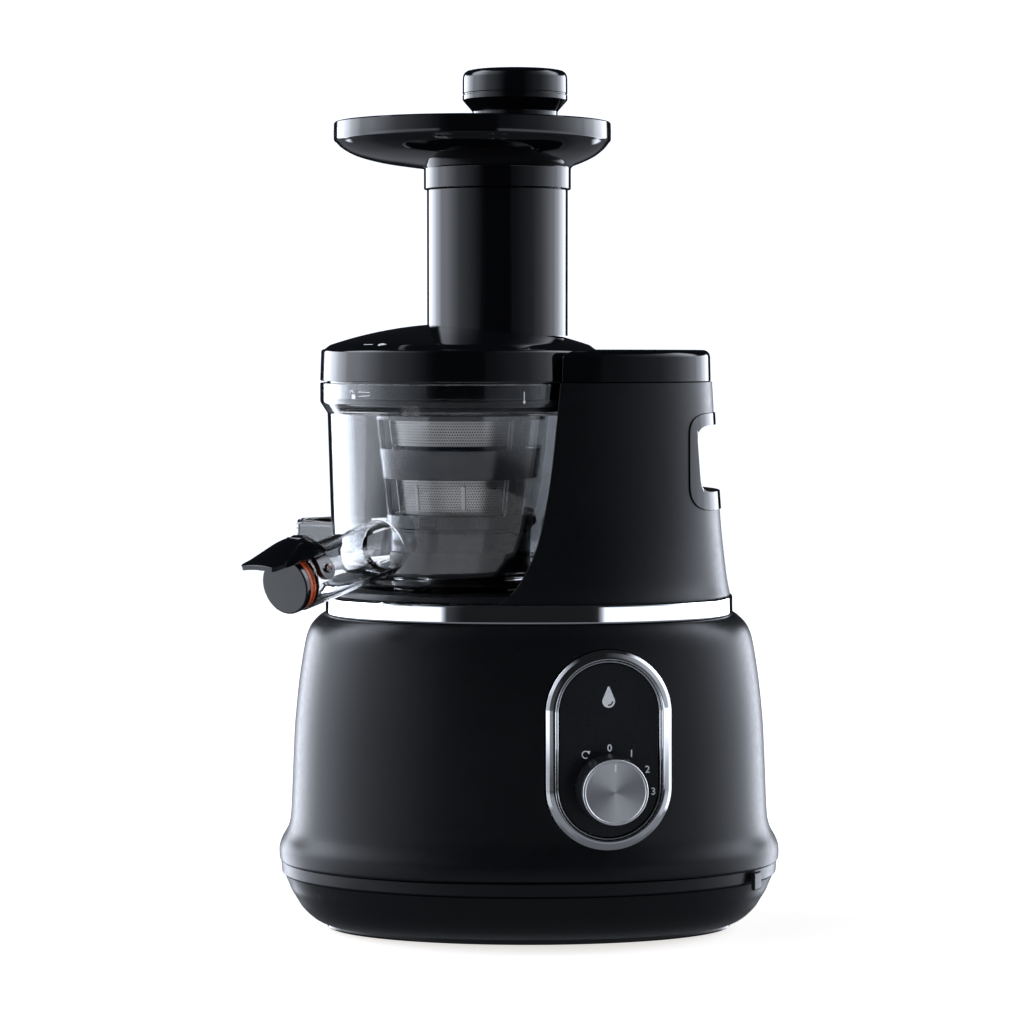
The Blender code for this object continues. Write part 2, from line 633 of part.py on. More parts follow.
def strainer():
    r = strainer_radius
    skin, wall = 0.9, 1.6
    outer = [(66.2, 262), (66.2, 260), (r(260) - skin, 260), (r(189.4) - skin, 189.4), (13, 189.4)]
    inner = [(13, 191.4), (r(191.4) - skin - wall, 191.4), (r(262) - skin - wall, 262)]
    frame = turned("strainer_frame", outer + inner, grey_plastic(), (BOWL_X, 0, 0))
    for row, (low, high) in enumerate(((210.5, 224), (244.5, 256))):
        for i in range(3):
            window = block(f"strainer_window_{row}_{i}", (-45, -11, low), (45, 11, high), cutter=True)
            place(window, Matrix.Translation(Vector((BOWL_X, 0, 0)) * MM)
                  @ Matrix.Rotation(math.pi * i / 3, 4, "Z"))
            cut(frame, window)
    for name, (low, high) in (("strainer_mesh_lower", LOWER_MESH_Z), ("strainer_mesh_upper", UPPER_MESH_Z)):
        sleeve = [(r(high), high), (r(low), low), (r(low) - MESH_THICK, low), (r(high) - MESH_THICK, high)]
        turned(name, sleeve, steel(), (BOWL_X, 0, 0))


def brush_band(low, high):
    """Profile of a tapered hoop of the brush cage."""
    r = strainer_radius
    return [(r(high) + BAND_FAR, high), (r(low) + BAND_FAR, low), (r(low) + BAND_NEAR, low),
            (r(high) + BAND_NEAR, high)]


def brush():
    """Cage that turns round the strainer: ring gear, two bands, a top ring and three struts."""
    r = strainer_radius
    low, high = BRUSH_GEAR_Z
    count = 4 * BRUSH_TEETH
    rings = [gear_ring(high, BRUSH_TEETH, BRUSH_MODULE, 0, True, (BOWL_X, 0)),
             gear_ring(low, BRUSH_TEETH, BRUSH_MODULE, 0, True, (BOWL_X, 0)),
             circle(low, BOWL_X, BRUSH_GEAR_R, count), circle(high, BOWL_X, BRUSH_GEAR_R, count)]
    holder = loft("brush_holder", rings, grey_plastic(), closed=True)
    skirt = [(37, 208.3), (37, 202), (36, 201.5), (35.6, 185), (33.2, 185), (33.6, 208.3)]
    hoops = (("brush_skirt", skirt), ("brush_band", brush_band(226, 241)),
             ("brush_top", brush_band(255, 258.5)))
    for name, profile in hoops:
        join(holder, turned(name, profile, None, (BOWL_X, 0, 0), 24, cutter=True))
    for i in range(STRUTS):
        turn = Matrix.Translation(Vector((BOWL_X, 0, 0)) * MM) @ Matrix.Rotation(
            math.radians(STRUT_AZIMUTH + 360 * i / STRUTS), 4, "Z")
        sections = [[(r(z) + BAND_NEAR + dx, dy, z) for dx, dy in ((0.4, -3), (2.8, -3), (2.8, 3), (0.4, 3))]
                    for z in (204, 257)]
        join(holder, place(loft(f"brush_strut_{i}", sections, cutter=True), turn))
        blade = [[(r(z) + dx, dy, z) for dx, dy in ((0.3, -0.9), (3.1, -1.6), (3.1, 1.6), (0.3, 0.9))]
                 for z in (209.5, 254.5)]
        place(loft(f"wiper_blade_{i + 1}", blade, red_silicone()), turn)


def brush_idler():
    radius = BRUSH_MODULE * (AUGER_TEETH + BRUSH_IDLER_TEETH) / 2
    at = (BOWL_X + radius * math.cos(BRUSH_IDLER_AZIMUTH), radius * math.sin(BRUSH_IDLER_AZIMUTH))
    pinion = gear("brush_idler", BRUSH_IDLER_TEETH, BRUSH_MODULE, *BRUSH_GEAR_Z, grey_plastic(), at,
                  phase=BRUSH_IDLER_AZIMUTH + math.pi / BRUSH_IDLER_TEETH)
    cut(pinion, cylinder("brush_idler_bore", 2.9, 170, 195, at=at, steps=12, cutter=True))


def auger_flight(name, start, low, high, turns):
    """A helical flight whose edge follows the strainer's taper."""
    sections, count = [], int(12 * turns)
    for i in range(count + 1):
        share = i / count
        z, angle = low + (high - low) * share, start + 2 * math.pi * turns * share
        edge = strainer_radius(z) - SCREW_CLEAR
        ring_points = []
        for radius, dz in ((12, -2.6), (edge, -1.2), (edge, 1.2), (12, 2.6)):
            ring_points.append((BOWL_X + radius * math.cos(angle), radius * math.sin(angle), z + dz))
        sections.append(ring_points)
    return loft(name, sections, cutter=True)


def auger():
    """Squeezing screw: core, two flights, the pinion that drives the brush, and a hexagonal socket."""
    core = [(0, 288), (3.4, 288), (3.9, 287), (3.9, 268), (8, 266), (13, 258), (17, 240), (20.5, 215),
            (21.5, 196), (21.5, 192.2), (11.5, 192.2), (11.5, 188.6), (0, 188.6)]
    screw = turned("auger", core, grey_plastic(), (BOWL_X, 0, 0), 20, closed=False)
    for i in range(2):
        join(screw, auger_flight(f"auger_flight_{i}", math.pi * i, 196, 256, 1.25))
    pinion = gear("auger_pinion", AUGER_TEETH, BRUSH_MODULE, BRUSH_GEAR_Z[0], 189.5, at=(BOWL_X, 0),
                  phase=BRUSH_IDLER_AZIMUTH, cutter=True)
    join(screw, pinion)
    cut(screw, cylinder("auger_socket", 6.8, 175, 191, at=(BOWL_X, 0), steps=6, cutter=True))


def spout_cap():
    """Flat disc on a silicone seal, and the lever that swings it up."""
    frame = spout_matrix()
    face = [(0, CAP_FACE), (12.9, CAP_FACE), (13.6, CAP_FACE - 0.7), (13.6, CAP_FACE - 3.2),
            (0, CAP_FACE - 3.2)]
    place(turned("spout_cap", face, grey_plastic(), steps=28, closed=False), frame)
    seal = [(0, CAP_FACE - 3.5), (13.0, CAP_FACE - 3.5), (13.0, SPOUT_END + 0.3), (9.9, SPOUT_END + 0.3),
            (8.0, SPOUT_END - 5.5), (0, SPOUT_END - 5.5)]
    place(turned("cap_seal", seal, red_silicone(), steps=28, closed=False), frame)


# ---------------------------------------------------------------- lid, tray and pusher

def lid():
    """Dome with its bayonet side, the feed tube with an inner chute, and the auger's top bearing."""
    skin = [(15.5, 302), (38.8, 299.3), (56.6, 294.8), (65.5, 291.5), (68.5, 289.8),
            (69.1, 288.5), (RIM_R, 274.3), (66.0, 274.3), (66.0, 265.8), (62.5, 265.8)]
    under = [(62.5, 286), (52, 292), (36, 295.6), (9, 298.4), (9, 272), (4.3, 272), (4.3, 289.5), (0, 289.5)]
    dome = turned("lid", [(0, 302.7)] + skin + under, gloss_black(), (BOWL_X, 0, 0), closed=False)
    tube = cylinder("feed_tube", TUBE_R, 296.5, TUBE_TOP, at=(TUBE_X, 0), steps=32, cutter=True)
    hollow = cylinder("tube_hollow", TUBE_R - 2.6, 305, 380, at=(TUBE_X, 0), steps=32, cutter=True)
    sleeve = cylinder("chute_sleeve", CHUTE_R + 4.6, 300, 367, at=(CHUTE_X, 0), steps=32, cutter=True)
    bore = cylinder("chute_bore", CHUTE_R + 2.4, 290.5, 380, at=(CHUTE_X, 0), steps=32, cutter=True)
    join(dome, tube)
    cut(dome, hollow)
    join(dome, sleeve)
    cut(dome, bore)


def lid_gasket():
    ring("lid_gasket", 66.0, 62.5, 262.4, 265.4, rubber(), (BOWL_X, 0), ROUND)


def feed_tray():
    """Dish on a collar, with a sleeve that drops into the feed chute."""
    rim_x = -28.15
    path = [(330, CHUTE_X, CHUTE_R), (382, CHUTE_X, CHUTE_R), (383, -19, 37.5), (386.8, -25.75, 54.2),
            (391.5, -27.75, 62.6), (395, rim_x, 66.0), (401.6, rim_x, 66.4), (402, rim_x, 67.2),
            (401.6, rim_x, 68.6), (393, rim_x, 68.75), (389, -27.75, 65.25), (384, -25.75, 56.75),
            (380, -20, 41.8), (379, TUBE_X, TUBE_R + 1.5), (369, TUBE_X, TUBE_R + 1.5),
            (369, CHUTE_X, CHUTE_R + 2.1), (330, CHUTE_X, CHUTE_R + 2.1)]
    loft("feed_tray", [circle(z, x, r) for z, x, r in path], gloss_black(), closed=True)


def pusher():
    top, stem = PUSHER_TOP, CHUTE_R - 0.5
    profile = [(0, top), (20, top - 0.2), (24, top - 1.2), (26, top - 4), (26, top - 15), (25, top - 16),
               (stem, top - 17), (stem, 303), (stem - 3, 303), (stem - 3, top - 22), (0, top - 22)]
    turned("pusher", profile, gloss_black(), (CHUTE_X, 0, 0), ROUND, closed=False)


def cap_lever():
    """Bracket clipped to the spout's studs, and the lever hinged on top of it."""
    frame = spout_matrix()
    bracket = place(loft("cap_bracket", [arch(z, 14.3, 17.0) for z in (117, 126)], gloss_black()), frame)
    holes = place(block("bracket_holes", (-30, 3.7, 119.2), (30, 8.3, 123.8), cutter=True), frame)
    knuckle = place(block("bracket_knuckle", (-3.5, 15, 117.5), (3.5, 20.6, 123.5), cutter=True), frame)
    pin_hole = place(bar("knuckle_hole", CAP_PIN_R + GAP, 30, CAP_HINGE), frame)
    join(bracket, knuckle)
    cut(bracket, holes, pin_hole)
    lever = place(loft("cap_lever", lever_sections(), gloss_black()), frame)
    slot = place(block("lever_slot", (-3.8, 10, 110), (3.8, 30, 125.5), cutter=True), frame)
    cut(lever, slot)
    pin = place(bar("lever_pin", CAP_PIN_R, 7.3, CAP_HINGE), frame)
    join(lever, pin)


def bar(name, radius, half, at):
    """A round bar across the spout."""
    bm = bmesh.new()
    bmesh.ops.create_cone(bm, cap_ends=True, segments=12, radius1=radius * MM, radius2=radius * MM,
                          depth=2 * half * MM)
    bmesh.ops.rotate(bm, verts=bm.verts, matrix=Matrix.Rotation(math.radians(90), 3, "Y"))
    bmesh.ops.translate(bm, verts=bm.verts, vec=Vector(at) * MM)
    return add_object(name, finish_mesh(bm, name), None, True)


def arch(z, inner, outer):
    """A strap over the top of the spout, down to the studs on both sides."""
    angles = [math.radians(5 + 170 * i / 12) for i in range(13)]
    over = [(outer * math.cos(t), outer * math.sin(t), z) for t in angles]
    under = [(inner * math.cos(t), inner * math.sin(t), z) for t in reversed(angles)]
    return over + under


def lever_sections():
    """Cross sections of the lever from behind its hinge to the tip of its tab."""
    rows = ((119.3, 8.5, 17.5, 20.4), (124, 11, 17.5, 21.0), (130, 12, 16.5, 19.5), (136, 12, 14.6, 17.0),
            (152, 10, 12.5, 14.3))
    return [[(-w, low, s), (w, low, s), (w, high, s), (-w, high, s)] for s, w, low, high in rows]


# ---------------------------------------------------------------- assembly

def main():
    clear_scene()
    pockets, heads, holes, vents = base_cutters()
    foot_plate(pockets, heads, holes, vents)
    rubber_feet()
    base_screws()
    bottom_pan(holes, vents)
    cord_gland()
    side_lug()
    panel_frame = panel_matrix()
    base_housing(panel_frame)
    chrome_band()
    scoop = upper_housing()
    tower_cap(scoop)
    handle_insert()
    bezel_ring(panel_frame)
    control_panel(panel_frame)
    rotary_switch(panel_frame)
    speed_knob(panel_frame)
    motor()
    motor_bracket()
    gearbox_base()
    gearbox_cover()
    drive_train()
    circuit_board()
    juice_bowl()
    bowl_packing()
    strainer()
    brush()
    brush_idler()
    auger()
    spout_cap()
    cap_lever()
    lid()
    lid_gasket()
    feed_tray()
    pusher()


main()
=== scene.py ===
"""Looks of a vertical slow juicer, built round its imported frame.

Sizes are in millimetres and become metres when a mesh is made. +Z is up, +X is the tower side and
-Y is the front, as in the frame.
"""

import json
import math

import bmesh
import bpy
from mathutils import Matrix, Vector


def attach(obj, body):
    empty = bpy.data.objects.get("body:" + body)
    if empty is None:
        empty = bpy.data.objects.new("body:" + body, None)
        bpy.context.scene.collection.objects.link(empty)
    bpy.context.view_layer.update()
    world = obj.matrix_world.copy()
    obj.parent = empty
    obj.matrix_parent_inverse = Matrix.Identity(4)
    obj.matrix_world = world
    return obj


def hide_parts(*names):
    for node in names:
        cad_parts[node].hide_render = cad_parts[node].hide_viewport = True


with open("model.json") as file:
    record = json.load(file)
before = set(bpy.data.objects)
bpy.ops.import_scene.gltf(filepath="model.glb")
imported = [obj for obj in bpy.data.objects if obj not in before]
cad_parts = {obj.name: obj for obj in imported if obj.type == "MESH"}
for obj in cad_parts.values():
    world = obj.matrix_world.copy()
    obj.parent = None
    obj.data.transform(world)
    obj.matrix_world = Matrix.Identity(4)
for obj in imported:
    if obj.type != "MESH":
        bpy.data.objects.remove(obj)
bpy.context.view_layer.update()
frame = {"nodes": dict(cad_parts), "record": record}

MM = 0.001
GAP = 0.3
FINE = 128                      # segments of a large outline
MEDIUM = 64                     # segments of a mid-sized turned piece
SMALL = 32                      # segments of a small turned piece

# Base and tower: outlines are superellipses
BODY_POWER, PAN_POWER = 2.35, 2.1
BODY_WALL, PAN_WALL = 3.0, 2.6
DECK_Z, DECK_TOP = 168.4, 171.6
TOWER_SEAM, TOWER_TOP = 274.0, 289.5
FOOT_SPOTS = [(sx * 68, sy * 20) for sx in (-1, 1) for sy in (-1, 1)]
SCREW_SPOTS = [(sx * 46, sy * 34) for sx in (-1, 1) for sy in (-1, 1)]
VENT_XS = [sx * (18 + 8 * i) for sx in (-1, 1) for i in range(3)]

# Bowl, lid, feed tube, tray and pusher
BOWL_X = -34.5
SCOOP_R = 72.5
RIM_R, RIM_TOP, LEDGE_Z = 69.5, 273.3, 259.7
TUBE_X, TUBE_R, TUBE_TOP = -15.75, 35.0, 368.7
CHUTE_X, CHUTE_R = -7.0, 21.6
PUSHER_TOP = 428.0
DOME_TOP, DOME_CURVE = 302.7, 200.0
STRAINER_R, STRAINER_R_Z, STRAINER_TAPER = 30.3, 208.0, 0.114
LOWER_MESH_Z, UPPER_MESH_Z = (208.5, 226.0), (242.5, 258.0)
STRUT_AZIMUTHS = [math.radians(193 + 120 * i) for i in range(3)]
BRUSH_TEETH, AUGER_TEETH, GEAR_MODULE = 24, 8, 2.25
GEAR_Z = (181.5, 187.5)
BAND_NEAR, BAND_FAR = 3.4, 6.6  # the brush cage's inside and outside, from the strainer's surface
SCREW_CLEAR = 3.4               # from the strainer's surface to the edge of the auger's flights

# Juice spout and pulp chute
SPOUT_AZIMUTH, SPOUT_SLOPE = math.radians(-127.0), math.radians(11.0)
SPOUT_R, SPOUT_BORE_R = 14.0, 11.8
SPOUT_ROOT, SPOUT_ROOT_Z, SPOUT_END = 58.0, 195.0, 127.0
CAP_FACE = 135.0
CAP_HINGE, CAP_PIN_R = (0, 18.6, 120.5), 1.0
STUD_Y, STUD_Z, EAR_REACH = 6.0, 121.5, 15.6
PULP_AZIMUTH, PULP_END = math.radians(131.0), 113.8

# Control panel
PANEL_AT = (37.3, -74.4, 99.0)
PANEL_YAW, PANEL_LEAN = math.radians(8.0), math.radians(1.5)
PANEL_HALF_W, PANEL_HALF_H, BEZEL_WIDTH = 30.4, 48.0, 6.0
KNOB_DROP, KNOB_TOP = 18.1, 18.9
DIAL_R, DIAL_SHIFT = 21.2, (0.4, -2.2)
NUMERAL_SIZE = 4.8

# Printed marks: the ink's underside and top, from the surface it lies on
PRINT_LIFTS = (-0.05, 0.06)
PRINT_Z = (0.22, 0.3)           # over the control panel
RIM_PRINT_Z = 268.2
LID_PRINT_R, LID_PRINT_AZIMUTH = 63.5, math.radians(-128)


# ---------------------------------------------------------------- mesh helpers

def link(name, mesh):
    obj = bpy.data.objects.new(name, mesh)
    bpy.context.scene.collection.objects.link(obj)
    return obj


def solid(name, points, faces):
    """An object from points in millimetres, its faces turned outward."""
    mesh = bpy.data.meshes.new(name)
    mesh.from_pydata([(x * MM, y * MM, z * MM) for x, y, z in points], [], faces)
    bm = bmesh.new()
    bm.from_mesh(mesh)
    bmesh.ops.recalc_face_normals(bm, faces=bm.faces)
    bm.to_mesh(mesh)
    bm.free()
    return link(name, mesh)


def loft(name, rings, closed=False):
    """A solid through rings of equal point counts: capped at both ends, or joined end to start."""
    count = len(rings[0])
    points = [p for ring in rings for p in ring]
    rows = [range(i * count, (i + 1) * count) for i in range(len(rings))]
    pairs = list(zip(rows, rows[1:]))
    if closed:
        pairs.append((rows[-1], rows[0]))
    faces = [(low[i], low[i - 1], high[i - 1], high[i]) for low, high in pairs for i in range(count)]
    if not closed:
        faces += [tuple(rows[0]), tuple(rows[-1])]
    return solid(name, points, faces)


def turned(name, profile, at=(0.0, 0.0), steps=FINE):
    """A closed profile of (radius, height) turned about the vertical through at."""
    points, rows = [], []
    for radius, z in profile:
        if radius < 1e-6:
            rows.append([len(points)])
            points.append((at[0], at[1], z))
            continue
        rows.append(list(range(len(points), len(points) + steps)))
        for i in range(steps):
            angle = 2 * math.pi * i / steps
            points.append((at[0] + radius * math.cos(angle), at[1] + radius * math.sin(angle), z))
    faces = []
    for low, high in zip(rows, rows[1:] + rows[:1]):
        if len(low) == len(high) == 1:
            continue
        for i in range(steps):
            if len(low) == 1:
                faces.append((low[0], high[i - 1], high[i]))
            elif len(high) == 1:
                faces.append((low[i - 1], low[i], high[0]))
            else:
                faces.append((low[i - 1], low[i], high[i], high[i - 1]))
    return solid(name, points, faces)


def bend(start, corner, end, steps):
    """Points along a curve from start to end that is pulled toward a corner."""
    return [start * (1 - t) ** 2 + corner * 2 * t * (1 - t) + end * t * t
            for t in (k / steps for k in range(steps + 1))]


def rounded(corners, steps=4):
    """A closed outline whose corners with a third value are rounded to that radius."""
    out = []
    for i, corner in enumerate(corners):
        here = Vector(corner[:2])
        if len(corner) < 3:
            out.append(tuple(here))
            continue
        to_last = Vector(corners[i - 1][:2]) - here
        to_next = Vector(corners[(i + 1) % len(corners)][:2]) - here
        half = to_last.angle(to_next) / 2
        reach = min(corner[2] / math.tan(half), 0.48 * to_last.length, 0.48 * to_next.length)
        start, end = here + to_last.normalized() * reach, here + to_next.normalized() * reach
        out += [tuple(point) for point in bend(start, here, end, steps)]
    return out


def rectangle(half_w, low, high, corner, steps=6):
    return rounded([(-half_w, low, corner), (half_w, low, corner), (half_w, high, corner),
                    (-half_w, high, corner)], steps)


def smooth_rows(rows, steps=4):
    """Rows of numbers with steps - 1 more rows between each two, along a smooth curve."""
    out = []
    for i in range(len(rows) - 1):
        before, a, b = rows[max(i - 1, 0)], rows[i], rows[i + 1]
        after = rows[min(i + 2, len(rows) - 1)]
        for k in range(steps):
            t = k / steps
            out.append([0.5 * (2 * p + (q - o) * t + (2 * o - 5 * p + 4 * q - r) * t * t
                               + (3 * p - o - 3 * q + r) * t ** 3)
                        for o, p, q, r in zip(before, a, b, after)])
    out.append(list(rows[-1]))
    return out


def outline_point(a, b, angle, power=BODY_POWER):
    c, s = math.cos(angle), math.sin(angle)
    return a * math.copysign(abs(c) ** (2 / power), c), b * math.copysign(abs(s) ** (2 / power), s)


def superellipse(z, a, b, power=BODY_POWER, count=FINE, x=0.0):
    points = []
    for i in range(count):
        u, v = outline_point(a, b, 2 * math.pi * i / count, power)
        points.append((x + u, v, z))
    return points


def circle(z, x, radius, count=FINE):
    return superellipse(z, radius, radius, 2.0, count, x)


def cylinder(name, radius, low, high, at=(0.0, 0.0), steps=MEDIUM):
    return turned(name, [(0, high), (radius, high), (radius, low), (0, low)], at, steps)


def box(name, low, high, radius=0.0):
    """A box, its edges rounded when a radius is given."""
    points = [(x, y, z) for x in (low[0], high[0]) for y in (low[1], high[1]) for z in (low[2], high[2])]
    faces = [(0, 1, 3, 2), (4, 6, 7, 5), (0, 4, 5, 1), (2, 3, 7, 6), (0, 2, 6, 4), (1, 5, 7, 3)]
    obj = solid(name, points, faces)
    return soften(obj, radius) if radius else obj


def extruded(name, outline, low, high):
    """An outline in X and Z pushed along Y."""
    return loft(name, [[(x, y, z) for x, z in outline] for y in (low, high)])


def bake(obj):
    """Applies an object's modifiers."""
    graph = bpy.context.evaluated_depsgraph_get()
    mesh = bpy.data.meshes.new_from_object(obj.evaluated_get(graph))
    obj.modifiers.clear()
    obj.data = mesh
    return obj


def soften(obj, width, segments=3, angle=40.0):
    bevel = obj.modifiers.new("soften", "BEVEL")
    bevel.width = width * MM
    bevel.segments = segments
    bevel.limit_method = "ANGLE"
    bevel.angle_limit = math.radians(angle)
    return bake(obj)


def combine(obj, others, operation):
    for other in others:
        step = obj.modifiers.new("combine", "BOOLEAN")
        step.operation = operation
        step.object = other
        bake(obj)
        bpy.data.objects.remove(other)
    return obj


def cut(obj, *others):
    return combine(obj, others, "DIFFERENCE")


def join(obj, *others):
    return combine(obj, others, "UNION")


def gather(obj, *others):
    """Adds separate small solids to an object's mesh."""
    bm = bmesh.new()
    bm.from_mesh(obj.data)
    for other in others:
        bm.from_mesh(other.data)
        bpy.data.objects.remove(other)
    bm.to_mesh(obj.data)
    bm.free()
    return obj


def gathered(name, parts):
    made = gather(*parts)
    made.name = name
    return made


def placed(obj, matrix):
    obj.data.transform(matrix)
    return obj


def shift(x, y, z):
    return Matrix.Translation(Vector((x, y, z)) * MM)


def turn(degrees, axis="Z"):
    return Matrix.Rotation(math.radians(degrees), 4, axis)


def dress(obj, paint, body, nodes=(), sharp=32.0):
    """Shades a piece, gives it its material and tells the frame what it is."""
    obj.data.materials.clear()
    obj.data.materials.append(paint)
    obj.data.shade_smooth()
    obj.data.set_sharp_from_angle(angle=math.radians(sharp))
    weighted = obj.modifiers.new("flat", "WEIGHTED_NORMAL")
    weighted.keep_sharp = True
    bake(obj)
    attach(obj, body)
    if nodes:
        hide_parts(*nodes)
    return obj


# ---------------------------------------------------------------- materials

SILICONE_IOR = 1.41


def feed(node, inputs):
    """Sets a node's inputs to values or links them to other nodes' outputs."""
    for place, value in inputs.items():
        if isinstance(value, bpy.types.NodeSocket):
            node.id_data.links.new(value, node.inputs[place])
        else:
            node.inputs[place].default_value = value
    return node


def add_node(tree, kind, inputs, **settings):
    made = tree.nodes.new("ShaderNode" + kind)
    for name, value in settings.items():
        setattr(made, name, value)
    return feed(made, inputs)


def surface(made):
    return made.node_tree.nodes["Principled BSDF"]


def new_material(name, colour, roughness, metallic=0.0, **weights):
    """A material; a weight such as transmission or subsurface goes to the input of that name."""
    made = bpy.data.materials.new(name)
    made.use_nodes = True
    feed(surface(made), {"Base Color": (*colour, 1.0), "Roughness": roughness, "Metallic": metallic})
    feed(surface(made), {f"{kind.title()} Weight": weight for kind, weight in weights.items()})
    return made


def object_space(made):
    found = made.node_tree.nodes.get("place")
    if not found:
        found = add_node(made.node_tree, "TexCoord", {}, name="place")
    return found.outputs["Object"]


def noise(made, scale, detail=3.0, stretch=(1.0, 1.0, 1.0)):
    mapping = add_node(made.node_tree, "Mapping", {"Scale": stretch, "Vector": object_space(made)})
    texture = add_node(made.node_tree, "TexNoise",
                       {"Scale": scale, "Detail": detail, "Vector": mapping.outputs["Vector"]})
    return texture.outputs["Fac"]


def spread(made, source, low, high):
    """Maps a noise output, which stays near the middle, onto low to high."""
    limits = {"From Min": 0.3, "From Max": 0.7, "To Min": low, "To Max": high}
    return add_node(made.node_tree, "MapRange", {**limits, "Value": source}).outputs["Result"]


def vary_roughness(made, low, high, scale, stretch=(1.0, 1.0, 1.0)):
    feed(surface(made), {"Roughness": spread(made, noise(made, scale, 4.0, stretch), low, high)})
    return made


def vary_colour(made, first, second, scale, stretch=(1.0, 1.0, 1.0)):
    share = spread(made, noise(made, scale, 3.0, stretch), 0.0, 1.0)
    mix = add_node(made.node_tree, "Mix", {"A": (*first, 1.0), "B": (*second, 1.0), "Factor": share},
                   data_type="RGBA")
    feed(surface(made), {"Base Color": mix.outputs["Result"]})
    return made


def raise_by(made, source, height, strength):
    """Raises the surface by a source; height is in millimetres."""
    bump = add_node(made.node_tree, "Bump",
                    {"Strength": strength, "Distance": height * MM, "Height": source})
    feed(surface(made), {"Normal": bump.outputs["Normal"]})
    return made


def add_bump(made, scale, height, strength):
    """Raises the surface by a noise of that scale."""
    return raise_by(made, noise(made, scale, 2.0), height, strength)


def matte_black():
    """Soft-touch moulded plastic with a very fine spark-eroded grain."""
    made = new_material("matte_black", (0.004, 0.0045, 0.006), 0.36)
    vary_colour(made, (0.0035, 0.004, 0.0055), (0.005, 0.0055, 0.007), 40)
    vary_roughness(made, 0.31, 0.38, 300)
    feed(surface(made), {"Specular IOR Level": 0.42})
    return add_bump(made, 1800, 0.02, 0.18)


def gloss_black():
    made = new_material("gloss_black", (0.004, 0.004, 0.006), 0.06)
    vary_colour(made, (0.0035, 0.0038, 0.005), (0.0045, 0.0048, 0.0065), 30)
    vary_roughness(made, 0.04, 0.09, 90)
    return add_bump(made, 25, 0.02, 0.12)


def satin_black():
    """Printed film over the control panel."""
    made = new_material("satin_black", (0.011, 0.012, 0.015), 0.3)
    vary_colour(made, (0.010, 0.011, 0.014), (0.013, 0.014, 0.017), 60)
    return vary_roughness(made, 0.26, 0.34, 300)


def clear_plastic():
    made = new_material("clear_plastic", (0.86, 0.875, 0.89), 0.02, transmission=1.0)
    feed(surface(made), {"IOR": 1.42})
    vary_colour(made, (0.85, 0.865, 0.88), (0.88, 0.892, 0.905), 12)
    return vary_roughness(made, 0.004, 0.012, 60)


def smoky_plastic():
    """Translucent dark grey of the brush cage's skirt."""
    made = new_material("smoky_plastic", (0.12, 0.13, 0.15), 0.16, transmission=0.72)
    feed(surface(made), {"IOR": 1.46})
    vary_colour(made, (0.11, 0.12, 0.14), (0.14, 0.15, 0.175), 30)
    return vary_roughness(made, 0.12, 0.22, 200)


def grey_plastic():
    made = new_material("grey_plastic", (0.022, 0.024, 0.03), 0.2)
    vary_colour(made, (0.02, 0.022, 0.027), (0.025, 0.028, 0.034), 40)
    return vary_roughness(made, 0.17, 0.24, 120)


def gear_plastic():
    made = new_material("gear_plastic", (0.72, 0.71, 0.66), 0.42, subsurface=0.1)
    feed(surface(made), {"Subsurface Radius": (0.002, 0.002, 0.0015)})
    vary_colour(made, (0.69, 0.68, 0.62), (0.76, 0.75, 0.70), 120)
    vary_roughness(made, 0.36, 0.5, 300)
    return add_bump(made, 900, 0.02, 0.2)


def chrome():
    made = new_material("chrome", (0.86, 0.87, 0.89), 0.05, 1.0)
    vary_colour(made, (0.85, 0.86, 0.88), (0.89, 0.90, 0.91), 20)
    return vary_roughness(made, 0.03, 0.07, 80)


def knob_aluminium():
    """Turned face: brush lines run round the knob's own axis."""
    made = new_material("knob_aluminium", (0.86, 0.865, 0.875), 0.4, 1.0)
    tangent = add_node(made.node_tree, "Tangent", {}, direction_type="RADIAL", axis="Y")
    rings = ring_lines(made, 16000.0)
    feed(surface(made), {"Tangent": tangent.outputs["Tangent"], "Anisotropic": 0.8,
                         "Roughness": spread(made, rings, 0.37, 0.43)})
    return raise_by(made, rings, 0.01, 0.05)


def ring_lines(made, scale):
    """Noise that depends only on the distance from the knob's centre."""
    offset = add_node(made.node_tree, "VectorMath", {0: object_space(made), 1: knob_matrix().translation},
                      operation="DISTANCE")
    texture = add_node(made.node_tree, "TexNoise",
                       {"Scale": scale, "Detail": 3.0, "W": offset.outputs["Value"]}, noise_dimensions="1D")
    return texture.outputs["Fac"]


def steel():
    made = new_material("steel", (0.55, 0.55, 0.56), 0.3, 1.0)
    vary_colour(made, (0.50, 0.50, 0.51), (0.60, 0.60, 0.61), 60, (1, 1, 8))
    return vary_roughness(made, 0.24, 0.36, 150, (1, 1, 10))


def mesh_steel():
    """Pale satin steel of the perforated sleeves."""
    made = new_material("mesh_steel", (0.3, 0.293, 0.29), 0.38, 1.0)
    vary_colour(made, (0.28, 0.274, 0.272), (0.33, 0.323, 0.318), 70)
    return vary_roughness(made, 0.32, 0.44, 400)


def rubber():
    made = new_material("rubber", (0.018, 0.018, 0.019), 0.8)
    vary_colour(made, (0.015, 0.015, 0.016), (0.024, 0.024, 0.025), 90)
    vary_roughness(made, 0.68, 0.84, 300)
    return add_bump(made, 700, 0.04, 0.3)


def red_silicone():
    made = new_material("red_silicone", (0.80, 0.17, 0.05), 0.3, transmission=0.45)
    feed(surface(made), {"IOR": SILICONE_IOR})
    vary_colour(made, (0.78, 0.13, 0.035), (0.86, 0.22, 0.07), 90)
    return vary_roughness(made, 0.24, 0.4, 200)


def pale_silicone():
    made = new_material("pale_silicone", (0.62, 0.64, 0.68), 0.4, transmission=0.3)
    feed(surface(made), {"IOR": SILICONE_IOR})
    vary_colour(made, (0.58, 0.60, 0.64), (0.68, 0.70, 0.73), 100)
    return vary_roughness(made, 0.34, 0.5, 200)


